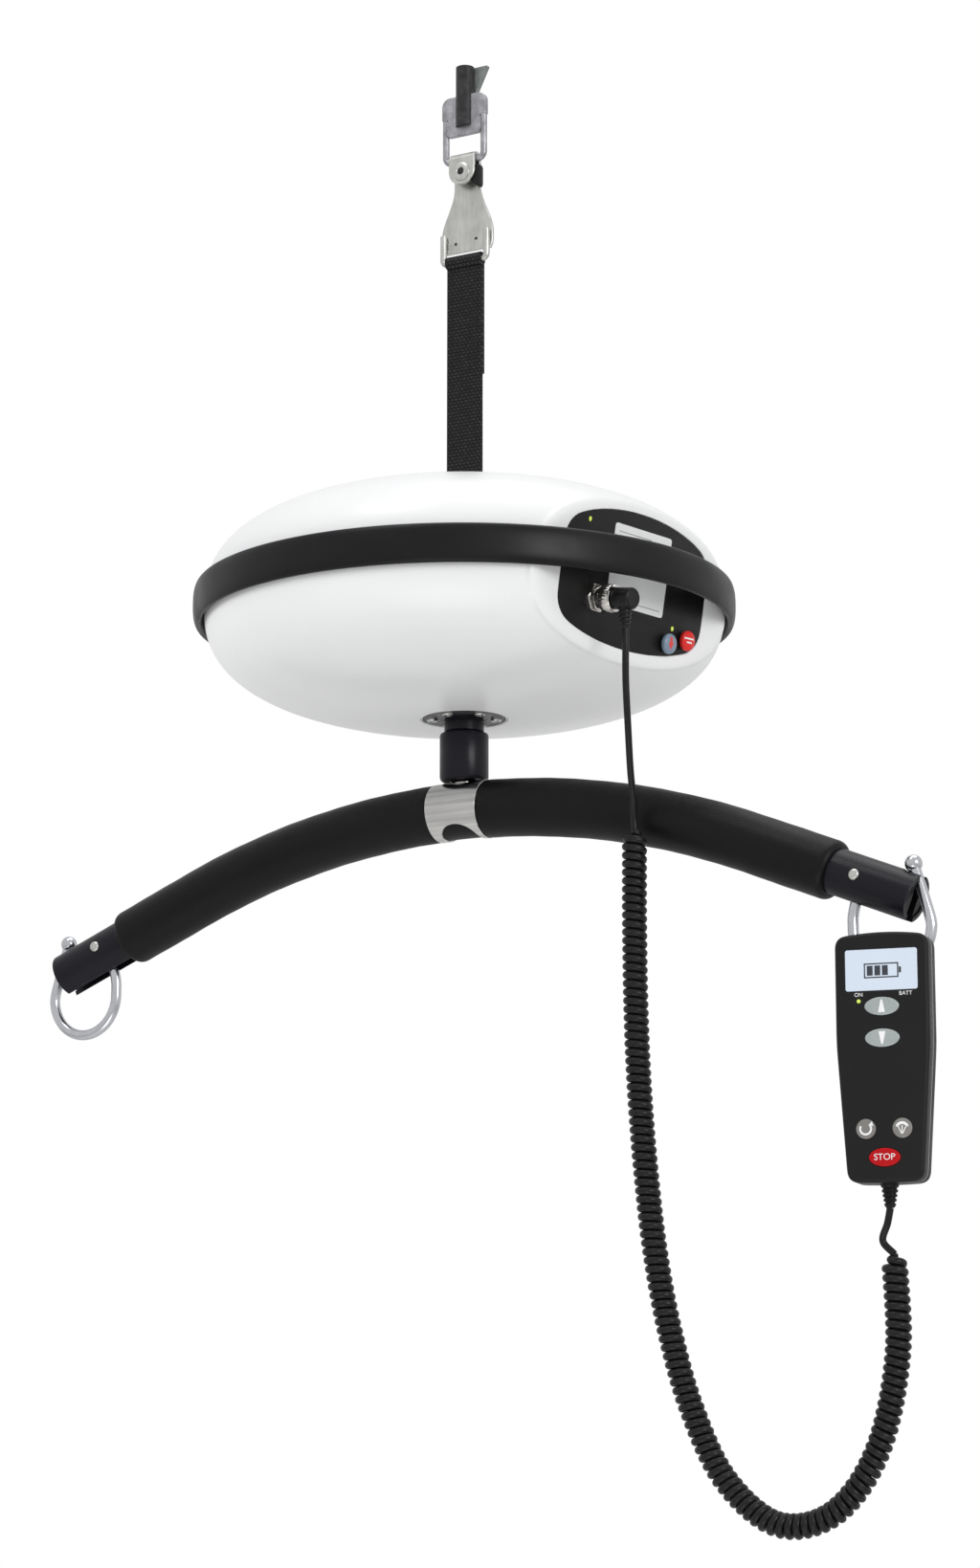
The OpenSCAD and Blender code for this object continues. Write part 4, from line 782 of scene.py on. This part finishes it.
# Spreader bar
# A black coated steel tube, bent in the middle, with two slid-on sleeves of closed cell foam.
# A brushed stainless band is clamped round the middle, and plastic plugs close the slotted ends.
BAR_Z, BEND_R, ARM_SLOPE, TUBE_R, PIVOT_X, PIVOT_Z = -512.6, 560.0, math.radians(22), 15.0, 284.88, -581.72
FOAM_R, FOAM_END, FOAM_LIP, FOAM_NOSE, FOAM_DROP = 19.0, 61.0, 1.2, 5.0, 3.4
BAND_HALF, BAND_EDGE, ARCH_R = 19.0, 0.4, 10.0
bend_len, band_reach = BEND_R * ARM_SLOPE, BEND_R * math.asin(BAND_HALF / BEND_R)


def on_bar(s, side=1):
    """A place on the bar's centre line, at a distance along it from the middle"""
    a, far = min(s, bend_len) / BEND_R, max(s - bend_len, 0)
    return Vector((side * (BEND_R * math.sin(a) + far * math.cos(a)), 0,
                   BAR_Z - BEND_R * (1 - math.cos(a)) - far * math.sin(a)))


def band_rings(places, r):
    """Circles round the bar's bend, at signed distances along it"""
    loops = []
    for s in places:
        up = Vector((math.sin(s / BEND_R), 0, math.cos(s / BEND_R)))
        loops.append([on_bar(s) + r(s) * (up * c + Vector((0, t, 0))) for c, t in circle(96)])
    return loops


black_foam = finish("black_foam", (0.0045, 0.0045, 0.0045), 0.44, shine=0.16, grain=1600, vary=0.25, bump=0.35,
                    depth=0.0002, cloud=18, cloud_vary=0.15)
start, stop, face_r = band_reach + 0.3, bend_len + FOAM_END, FOAM_R - 0.1
for side, name in ((-1, "foam_left"), (1, "foam_right")):
    places = [(start + FOAM_LIP * (1 - c), face_r - FOAM_LIP * (1 - s)) for c, s in arc(0, 90, 5)]
    for s in (start + FOAM_LIP + (stop - start - FOAM_LIP - FOAM_NOSE) * k / 80 for k in range(1, 80)):
        places.append((s, face_r + 0.07 * math.sin(s * 0.11) + 0.05 * math.sin(s * 0.31 + side)))
    places += [(stop - FOAM_NOSE * (1 - s), face_r - FOAM_DROP * (1 - c)) for c, s in arc(0, 90, 7)]
    foam = tube_loops([on_bar(s, side) for s, r in places], [r for s, r in places], 72)
    fit(loft(name + "_sleeve", foam, sharp=50), "spreader", "black_foam", black_foam, name)
dress(black_paint, "bar_tube")
dress(black_plastic, "end_plug_left", "end_plug_right")

# Brush grain and painted reflection: the tone runs in strong streaks along the bar, standing in for reflected bands
# of light as well as for the brushing.
grain_and_painted_streaks = finish("brushed_band", (0.56, 0.555, 0.54), 0.17, 1.0, grain=300, stretch=(0.02, 1, 1), vary=0.26,
                 rough_vary=0.04, bump=0.05, depth=0.0001, cloud=60, cloud_vary=0.05)
ends = [band_reach - BAND_EDGE, band_reach - 0.15, band_reach]
evenly = [band_reach * k / 8 for k in range(-8, 9)]
band = loft("centre_band_clamp", band_rings(
    [-s for s in ends[::-1]] + evenly[1:-1] + ends,
    lambda s: FOAM_R + 0.2 - 0.35 * max(0, abs(s) - band_reach + BAND_EDGE) / BAND_EDGE)
    + band_rings(evenly[::-1], lambda s: FOAM_R - 0.6), ring=True, sharp=40)
inner = [0.97 * s for s in evenly]
liner = loft("band_liner", band_rings(inner, lambda s: FOAM_R - 0.7)
             + band_rings(inner[::-1], lambda s: TUBE_R + 0.4), ring=True, sharp=40)
fit(liner, "spreader", "black_foam", black_foam)
slot = loft("band_slot", [[(p.x, p.y, BAR_Z + h) for p in rounded(oblong(13.0, 9.5), 8.5)] for h in (10, 24)])
arch = turned("band_arch", [(ARCH_R, -30), (ARCH_R, 30)], 64,
              lambda u, v, y: (1 + u * 1.4, y, BAR_Z - FOAM_R - 2.2 + v))
cut(band, slot, arch)
fit(band, "spreader", "brushed_band", grain_and_painted_streaks, "centre_band")

rivets = []
for side in (-1, 1):
    for face in (-1, 1):
        rivets.append(lathe_loops(
            [(2.9, face * 14.2), (3.5, face * 14.2), (3.5, face * 15.4), (3.3, face * 15.9), (2.8, face * 16.4),
             (2.0, face * 16.7), (0.3, face * 16.8)], 32, facing(side * PIVOT_X, PIVOT_Z)))
    rivets.append(lathe_loops([(2.95, -14.3), (2.95, 14.3)], 32, facing(side * PIVOT_X, PIVOT_Z)))
fit(skins("loop_rivets_domed", rivets), "spreader", "stainless", satin_steel, "loop_rivets")

# Sling loops
# Each is one polished steel rod bent to an open loop, flattened to an eye on the bar's rivet.
# Its free leg comes up outside the bar's end and is upset to a ball, so a sling's strap can't slip off.
ROD_R, LOOP_R, LOOP_IN, LOOP_Z = 3.5, 26.0, -8.0, -32.0
BALL_AT, BALL_R, EYE_R, EYE_HALF, EYE_BORE, EYE_EDGE = (33.0, 6.0), 5.5, 6.5, 3.6, 3.1, 0.8
loop_steel = finish("loop_steel", (0.56, 0.57, 0.6), 0.2, 1.0, grain=400, vary=0.03, rough_vary=0.03, bump=0.02,
                    cloud=120, cloud_vary=0.04)
loop_out = LOOP_IN + 2 * LOOP_R
line = [(0.0, 0.0), (LOOP_IN, LOOP_Z + 12), (LOOP_IN, LOOP_Z)]
line += [(LOOP_IN + LOOP_R + LOOP_R * c, LOOP_Z + LOOP_R * s) for c, s in arc(188, 356, 21)]
line += [(loop_out, LOOP_Z), (loop_out - 1.0, LOOP_Z + 6), BALL_AT]
line = [Vector(p) for p in line]
for _ in range(3):
    line = line[:1] + quarters(line) + line[-1:]
ball_profile = [(BALL_R * c, BALL_R * s) for c, s in arc(-89, 87, 22)] + [(0.05, BALL_R)]
eye_profile = [(EYE_BORE, EYE_HALF), (EYE_R - EYE_EDGE, EYE_HALF), (EYE_R, EYE_HALF - EYE_EDGE)]
eye_profile = [(r, -h) for r, h in eye_profile] + eye_profile[::-1]
for side, name in ((-1, "left"), (1, "right")):
    path = [(side * (PIVOT_X + p.x), 0, PIVOT_Z + p.y) for p in line]
    rod = loft("sling_loop_%s_rod" % name, tube_loops(path, ROD_R, 28), sharp=60)
    fit(rod, "loop_" + name, "loop_steel", loop_steel, "sling_loop_" + name)
    knob = turned("sling_loop_%s_ball" % name, ball_profile, 40, lambda u, v, h: (
        side * (PIVOT_X + BALL_AT[0]) + u, v, PIVOT_Z + BALL_AT[1] + h), sharp=60)
    fit(knob, "loop_" + name, "loop_steel", loop_steel)
    eye = turned("sling_loop_%s_eye" % name, eye_profile, 40, facing(side * PIVOT_X, PIVOT_Z), ring=True)
    fit(eye, "loop_" + name, "loop_steel", loop_steel)

# Handset
# Two matt black moulded halves, screwed together from behind with a pale seal in the joint.
# A lit window, five keys and a lamp are set in the front, and a belt clip and a cord gland close it.
HAND_TURN, HAND_X, HAND_Y, HAND_Z = math.radians(12), 307.3, -20.79, -696.02
HEAD_HALF, FOOT_HALF, HAND_HALF, HAND_DEPTH, HAND_CORNER = 28.5, 23.0, 75.0, 12.0, 7.0
HEAD_ARCH, FOOT_ARCH, FLARE = 2.4, 0.8, 0.56
FRONT, KEY_TOP, WINDOW_Z, WINDOW_HALF = -HAND_DEPTH, -HAND_DEPTH - 1.0, 52.0, (22.0, 12.5)
LAMP_AT, ON_AT, CELL_AT, WORD_H, STOP_H = (-14.0, 33.4), (-14.0, 37.2), (14.6, 37.2), 3.3, 5.4


def in_hand(x, z, y):
    """A place in the handset: across it, up it, and in from its middle plane"""
    c, s = math.cos(HAND_TURN), math.sin(HAND_TURN)
    return Vector((HAND_X + x * c - y * s, HAND_Y + x * s + y * c, HAND_Z + z))


def hand_spot(at):
    """Places a shape on the handset about a middle: across, up and in"""
    return lambda u, v, y: in_hand(at[0] + u, at[1] + v, y)


def corner_cut(line, radius, count=160):
    """Rounds an outline's corners: each point moves to the mean of what lies within a radius along the line"""
    marks = [0.0]
    for p, q in zip(line, line[1:] + line[:1]):
        marks.append(marks[-1] + (q - p).length)

    def at(s):
        s %= marks[-1]
        for i, p in enumerate(line):
            if s <= marks[i + 1]:
                return p.lerp(line[(i + 1) % len(line)], (s - marks[i]) / max(1e-9, marks[i + 1] - marks[i]))
        return line[0]

    out = []
    for k in range(count):
        near = [at(marks[-1] * k / count + radius * (j / 6 - 1)) for j in range(13)]
        out.append(sum(near, Vector((0, 0))) / len(near))
    return out


across = [k / 12 - 1 for k in range(25)]
flank = [Vector((FOOT_HALF + (HEAD_HALF - FOOT_HALF) * min(1, t / FLARE),
                 FOOT_ARCH - HAND_HALF + (2 * HAND_HALF - FOOT_ARCH - HEAD_ARCH) * t))
         for t in (k / 29 for k in range(1, 30))]
hand_line = [Vector((FOOT_HALF * u, FOOT_ARCH * u * u - HAND_HALF)) for u in across] + flank
hand_line += [Vector((-HEAD_HALF * u, HAND_HALF - HEAD_ARCH * u * u)) for u in across[1:]]
hand_line += [Vector((-p.x, p.y)) for p in flank[-2::-1]]
hand_edge = corner_cut(hand_line, HAND_CORNER * 0.9)


def hand_half(name, way, turn):
    """One half of the case, from the joint to its face, with a rounded rim"""
    steps = [(0.5, 0.35), (0.1, 0.45), (0.0, 0.9)]
    steps += [(turn * (1 - c), HAND_DEPTH - turn + turn * s) for c, s in arc(0, 90, 6)]
    return loft(name, stack(hand_edge, [(draw, way * y) for draw, y in steps], in_hand))


def oval_loops(at, half, steps):
    """Ovals about a place on the handset, each drawn in and set at a depth"""
    spot = hand_spot(at)
    return [[spot((half[0] - draw) * c, (half[1] - draw) * s, y) for c, s in circle(64)] for draw, y in steps]


handset_case = finish("handset_case", (0.011, 0.011, 0.0115), 0.45, shine=0.16, grain=2200, vary=0.2, bump=0.2,
                      depth=0.0001)
seal_grey = finish("seal_grey", (0.42, 0.42, 0.41), 0.5, grain=900, vary=0.05)
silver_key = finish("silver_key", (0.36, 0.4, 0.4), 0.32, 0.35, grain=1200, vary=0.06, bump=0.05, cloud=40)
grey_key = finish("grey_key", (0.2, 0.19, 0.18), 0.4, 0.1, grain=1200, vary=0.08, bump=0.05)
red_key = finish("stop_key", (0.44, 0.005, 0.008), 0.42, shine=0.15, grain=1200, vary=0.06, bump=0.05)
sign_dark = finish("sign_dark", (0.03, 0.035, 0.045), 0.4, grain=900, vary=0.1)
KEYS = {
    "up_button": ((0.0, 30.0), (10.5, 5.5), "silver_key", silver_key),
    "down_button": ((0.0, 11.0), (10.5, 5.5), "silver_key", silver_key),
    "return_button": ((-11.0, -43.0), (6.0, 6.0), "grey_key", grey_key),
    "descend_button": ((11.0, -43.0), (6.0, 6.0), "grey_key", grey_key),
    "stop_button": ((0.0, -60.0), (9.5, 5.5), "red_button", red_key),
}
window_edge, on_window = rounded(oblong(*WINDOW_HALF), 1.5), hand_spot((0, WINDOW_Z))
front = hand_half("handset_front_half", -1, 2.6)
wells = [loft("well", oval_loops(at, half, ((-0.3, FRONT - 2), (-0.3, FRONT + 6)))) for at, half, *_ in KEYS.values()]
wells.append(loft("well", stack(window_edge, ((-0.15, FRONT - 2), (-0.15, FRONT + 1.1)), on_window)))
cut(front, *wells)
fit(front, "handset", "handset_case", handset_case, "handset_front")
fit(hand_half("handset_rear_half", 1, 4.5), "handset", "handset_case", handset_case, "handset_rear")
seal = loft("handset_seal", stack(hand_edge, ((0.3, -0.4), (0.02, -0.25), (0.02, 0.25), (0.3, 0.4)), in_hand))
fit(seal, "handset", "handset_case", seal_grey)

window_light = finish("display", (0.56, 0.63, 0.73), 0.18, grain=900, vary=0.01, bump=0.01, cloud_vary=0.015)
wire(window_light.node_tree.nodes["Principled BSDF"], {
    "Emission Color": (0.7, 0.78, 0.9, 1), "Emission Strength": 0.08})
window = loft("display_window", stack(
    window_edge, ((0.05, FRONT + 1.0), (0.05, FRONT + 0.25), (0.25, FRONT + 0.1)), on_window))
fit(window, "handset", "display", window_light, "display_lens")


def face_mark(name, outline, at, y, body, slot, paint, thick=0.1):
    """A thin flat shape printed on the handset's face or on one of its keys"""
    spot = hand_spot(at)
    fit(loft(name, [[spot(u, v, y - d) for u, v in outline] for d in (-0.1, thick)]), body, slot, paint)


for k, (x, z, w, h) in enumerate((
    (0, 4.1, 21, 0.8), (0, -4.1, 21, 0.8), (-10.1, 0, 0.8, 9.0), (10.1, 0, 0.8, 9.0), (11.4, 0, 1.4, 3.6),
    (-6.9, 0, 3.6, 6.0), (-2.3, 0, 3.6, 6.0), (2.3, 0, 3.6, 6.0),
)):
    face_mark("display_cell_%d" % k, oblong(w / 2, h / 2), (x, WINDOW_Z - 0.5 + z), FRONT + 0.1, "handset", "display",
              sign_dark, 0.04)
for name, (at, half, slot, paint) in KEYS.items():
    key = loft(name + "_key", oval_loops(at, half, (
        (0.0, FRONT + 4.2), (0.0, FRONT - 0.3), (0.15, FRONT - 0.55), (0.5, FRONT - 0.75), (1.6, FRONT - 0.92),
        (3.2, KEY_TOP))), sharp=40)
    fit(key, name, slot, paint, name)


def key_mark(key, name, outline):
    """A white sign on a key"""
    at, _, slot, _ = KEYS[key]
    face_mark(name, outline, at, KEY_TOP, key, slot, mark_white)


def arc_band(inner_r, outer_r, first, last):
    """The outline of a part of a ring"""
    turns = arc(first, last, 24)
    return [(outer_r * c, outer_r * s) for c, s in turns] + [(inner_r * c, inner_r * s) for c, s in turns[::-1]]


def face_word(name, text, at, size, y, body, slot):
    """A plain printed word, cut as a thin solid and set on the handset's face"""
    curve = bpy.data.curves.new(name, "FONT")
    curve.body = text
    curve.size = size * MM
    curve.align_x = "CENTER"
    curve.align_y = "CENTER"
    curve.extrude = 0.08 * MM
    word = bpy.data.objects.new(name + "_line", curve)
    scene.collection.objects.link(word)
    bpy.context.view_layer.update()
    mesh = bpy.data.meshes.new_from_object(word.evaluated_get(bpy.context.evaluated_depsgraph_get()))
    bpy.data.objects.remove(word)
    for v in mesh.vertices:
        v.co = in_hand(at[0] + v.co.x / MM, at[1] + v.co.y / MM, y - v.co.z / MM) * MM
    made = bpy.data.objects.new(name, mesh)
    scene.collection.objects.link(made)
    fit(made, body, slot, mark_white)


for key, way in (("up_button", 1), ("down_button", -1)):
    key_mark(key, key + "_arrow", [(-2.1, -3.8 * way), (2.1, -3.8 * way), (0.5, 3.8 * way), (-0.5, 3.8 * way)])
key_mark("return_button", "return_turn_mark", arc_band(2.7, 3.9, 150, 395))
key_mark("return_button", "return_tip_mark", [(1.6, 2.0), (4.6, 1.5), (3.9, 4.4)])
key_mark("descend_button", "descend_arc_mark", [(u, v - 0.4) for u, v in arc_band(2.6, 4.2, 20, 160)])
for k, x in enumerate((-2.6, 0.0, 2.6)):
    key_mark("descend_button", "descend_line_mark_%d" % k,
             [(x * 0.1 - 0.3, -3.6), (x * 0.1 + 0.3, -3.6), (x + 0.3, 1.4), (x - 0.3, 1.4)])
face_word("stop_word", "STOP", KEYS["stop_button"][0], STOP_H, KEY_TOP, "stop_button", "red_button")
face_word("on_word", "ON", ON_AT, WORD_H, FRONT, "handset", "handset_case")
face_word("cell_word", "BATT", CELL_AT, WORD_H, FRONT, "handset", "handset_case")
lamp = turned("handset_lamp_domed", [
    (1.2, FRONT + 4.0), (1.2, FRONT - 0.05), (1.0, FRONT - 0.4), (0.5, FRONT - 0.58), (0.05, FRONT - 0.6)], 24,
    hand_spot(LAMP_AT), sharp=60)
fit(lamp, "handset", "lamp_green", lamp_lens, "handset_lamp")

# Belt clip and cord gland
# The clip is one moulded strap behind the handset, which hangs over the sling loop's rod.
# The gland is a ribbed rubber sleeve moulded on the cord where it enters the handset's foot.
CLIP_TOP, CLIP_IN, CLIP_OUT, CLIP_HALF, CLIP_LEG = 64.0, 13.0, 30.0, 6.0, 52.0
CLIP_RISE, CLIP_FULL, CLIP_BOW = 4.0, 0.6, 1.4
clip_mid, clip_half, clip_bend = (CLIP_IN + CLIP_OUT) / 2, (CLIP_OUT - CLIP_IN) / 2, CLIP_TOP - 5.5
clip_line = [(CLIP_IN, CLIP_TOP - 24), (CLIP_IN, CLIP_TOP - 12)]
clip_line += [(clip_mid + clip_half * swell(c, CLIP_FULL), clip_bend + CLIP_RISE * swell(s, CLIP_FULL))
              for c, s in arc(180, 0, 12)]
for t in (k / 14 for k in range(1, 15)):
    clip_line.append((CLIP_OUT + CLIP_BOW * math.sin(math.pi * t) - 0.6 * t, clip_bend - CLIP_LEG * t))
loops, last = [], len(clip_line) - 1
for i, (y, z) in enumerate(clip_line):
    ahead = (Vector(clip_line[min(last, i + 1)]) - Vector(clip_line[max(0, i - 1)])).normalized()
    t = max(0.0, (i - 20) / (last - 20))
    half_w, half_t = CLIP_HALF - 1.2 * t ** 3, 1.35 - 0.35 * t if i > 1 else 0.95
    section = rounded(oblong(half_w, half_t), half_t * 0.8, 4)
    loops.append([in_hand(p.x, z - ahead.x * p.y, y + ahead.y * p.y) for p in section])
fit(loft("handset_clip_strap", loops, sharp=50), "handset", "black_plastic", black_plastic, "handset_clip")


def ribs(first_r, less, groove, lip, first_h, way):
    """The profile of four ribs that get smaller along a sleeve"""
    line = []
    for k in range(4):
        r, h = first_r - less * k, first_h + 2.7 * way * k
        line += [(r - groove, h), (r - groove, h + 0.7 * way), (r, h + way), (r - 0.1, h + 2.1 * way),
                 (r - lip, h + 2.4 * way)]
    return line


gland = turned("handset_gland_ribbed", [
    (5.5, -74.5), (5.5, -76.0), (5.2, -76.6), *ribs(4.9, 0.45, 0.7, 0.4, -77.4, -1), (2.7, -88.6), (2.35, -89.0)], 40,
    lambda u, v, h: in_hand(u, h, v))
fit(gland, "handset", "black_plastic", ring_rubber, "handset_gland")
dress(satin_steel, "handset_screws")

# Plug
# A moulded right-angle plug, pushed into the panel's socket and locked by a plated coupling ring.
# The round head stands out from the panel, and its ribbed relief takes the cord straight down.
RING_FROM, RING_TO, HEAD_TO, RING_STEPS, GRIP_R, LOBES, LOBE_DEPTH = 8.0, 17.0, 31.0, 192, 9.0, 24, 0.3
plug_black = finish("plug_black", (0.006, 0.006, 0.0065), 0.36, shine=0.25, grain=1800, vary=0.2, bump=0.12,
                    depth=0.0001)
head = turned("plug_head", [
    (5.6, RING_FROM - 0.6), (5.6, RING_TO), (6.3, RING_TO + 0.05), (6.9, RING_TO + 0.5), (7.0, RING_TO + 1.2),
    (7.0, HEAD_TO - 2.0), (6.8, HEAD_TO - 1.2), (6.2, HEAD_TO - 0.5), (5.2, HEAD_TO - 0.2), (5.0, HEAD_TO - 0.55),
    (0.4, HEAD_TO - 0.6)], 56, on_socket)
fit(head, "hoist", "black_plastic", plug_black, "plug_body")
head_mid = on_socket(0, 0, (RING_TO + HEAD_TO) / 2)
relief = turned("plug_relief", [
    (4.4, 0.5), (4.4, 6.6), (4.25, 7.2), *ribs(4.1, 0.38, 0.6, 0.35, 7.8, 1), (2.5, 18.8), (2.3, 19.0)], 40,
    lambda u, v, h: head_mid + Vector((u, v, -h)))
fit(relief, "hoist", "black_plastic", plug_black)
loops = []
for r, out in ((8.2, RING_FROM + 0.05), (8.8, RING_FROM + 0.5), (GRIP_R, RING_FROM + 1.0), (GRIP_R, RING_TO - 2.2),
               (8.7, RING_TO - 1.8), (8.5, RING_TO - 1.2), (8.5, RING_TO - 0.5), (8.1, RING_TO - 0.05)):
    deep = LOBE_DEPTH if r == GRIP_R else 0.0
    reach = [r - deep * max(0, math.cos(2 * math.pi * LOBES * k / RING_STEPS)) for k in range(RING_STEPS)]
    loops.append([on_socket(far * c, far * s, out) for far, (c, s) in zip(reach, circle(RING_STEPS))])
fit(loft("coupling_ring_lobed", loops, sharp=40), "hoist", "plated_metal", plated, "coupling_ring")

# Cord
# A thin round control cord, jacketed in black plastic and set as a curl along most of its length.
# It drops from the plug past the bar, hangs in one bight and rises to the handset's gland.
CORD_D, STRAND_D, HELIX_R, CURLS, PER_TURN = 4.4, 5.3, 5.35, 122, 16
PLUG_EXIT, GLAND_EXIT = head_mid - Vector((0, 0, 19)), Vector((307.3, -20.79, -785.02))
CURL_TOP, CURL_FOOT = Vector((140, -26, -542)), Vector((308, -18, -812))
UPPER_ROUTE = [PLUG_EXIT, PLUG_EXIT - Vector((0, 0, 12)), (153, -60, -455), (150, -52, -482), (145, -40, -507),
               (142, -31, -524), (140, -27, -534), CURL_TOP]
CURL_ROUTE = [CURL_TOP, (139, -25, -600), (139, -24, -655), (141, -24, -705), (145, -24, -755), (151, -24, -805),
              (160, -23, -853), (174, -22, -900), (196, -21, -943), (230, -20, -969), (267, -19, -962),
              (295, -18, -926), (309, -18, -870), CURL_FOOT]
LOWER_ROUTE = [CURL_FOOT, (301, -18.5, -804), GLAND_EXIT - Vector((2, 0, 9)), GLAND_EXIT]


def along_route(route, per):
    """Points of one smooth curve through a route's points"""
    pts = [Vector(p) for p in route]
    pts = [2 * pts[0] - pts[1]] + pts + [2 * pts[-1] - pts[-2]]
    out = []
    for i in range(1, len(pts) - 2):
        p0, p1, p2, p3 = pts[i - 1:i + 3]
        for t in (k / per for k in range(per)):
            out.append(0.5 * (2 * p1 + (p2 - p0) * t + (2 * p0 - 5 * p1 + 4 * p2 - p3) * t * t
                              + (3 * p1 - p0 - 3 * p2 + p3) * t * t * t))
    return out + [pts[-2]]


def run_marks(path):
    """How far along a path each of its points lies"""
    marks = [0.0]
    for a, b in zip(path, path[1:]):
        marks.append(marks[-1] + (b - a).length)
    return marks


cord_jacket = finish("cord_jacket", (0.007, 0.007, 0.0075), 0.38, shine=0.25, grain=1500, vary=0.15, rough_vary=0.06,
                     bump=0.08, depth=0.0001, cloud=60, cloud_vary=0.12)
middle = along_route(CURL_ROUTE, 40)
marks = run_marks(middle)
strand, thick, step, count = [], [], 0, CURLS * PER_TURN
for i in range(count + 1):
    s = marks[-1] * i / count
    while step < len(marks) - 2 and marks[step + 1] < s:
        step += 1
    t = (s - marks[step]) / (marks[step + 1] - marks[step])
    ahead = (middle[min(step + 2, len(middle) - 1)] - middle[max(step - 1, 0)]).normalized()
    side = Vector((0, 1, 0)).cross(ahead).normalized()
    turn = -2 * math.pi * i / PER_TURN
    lift = smooth_step(0, 1, min(s, marks[-1] - s) / (1.6 * CORD_D))
    thick.append((CORD_D + (STRAND_D - CORD_D) * lift) / 2)
    strand.append(middle[step].lerp(middle[step + 1], t)
                  + HELIX_R * lift * (side * math.cos(turn) + ahead.cross(side) * math.sin(turn)))
lowest = min(range(len(middle)), key=lambda k: middle[k].z)
bight = round(count * marks[lowest] / marks[-1])
for name, path, radius, width, node, lay, body in (
    ("cord_upper_run", along_route(UPPER_ROUTE, 8), CORD_D / 2, CORD_D, "cord_upper", "hanging", "hoist"),
    ("cord_curl_down", strand[:bight + 1], thick[:bight + 1], STRAND_D, "curly_cord", "coiled",
     ("hoist", "spreader", (0.14, -0.026, -0.56), (0.14, -0.026, -0.94))),
    ("cord_curl_up", strand[bight:], thick[bight:], STRAND_D, "curly_cord", "coiled",
     ("spreader", "handset", (0.308, -0.018, -0.945), (0.308, -0.018, -0.82))),
    ("cord_lower_run", along_route(LOWER_ROUTE, 8)[::-1], CORD_D / 2, CORD_D, "cord_lower", "hanging", "handset"),
):
    run = loft(name, tube_loops(path, radius, 14), sharp=70)
    fit(run, body, "cord_jacket", cord_jacket, node)
    run_marks(path)[-1] * MM
    [tuple(p * MM) for p in path]
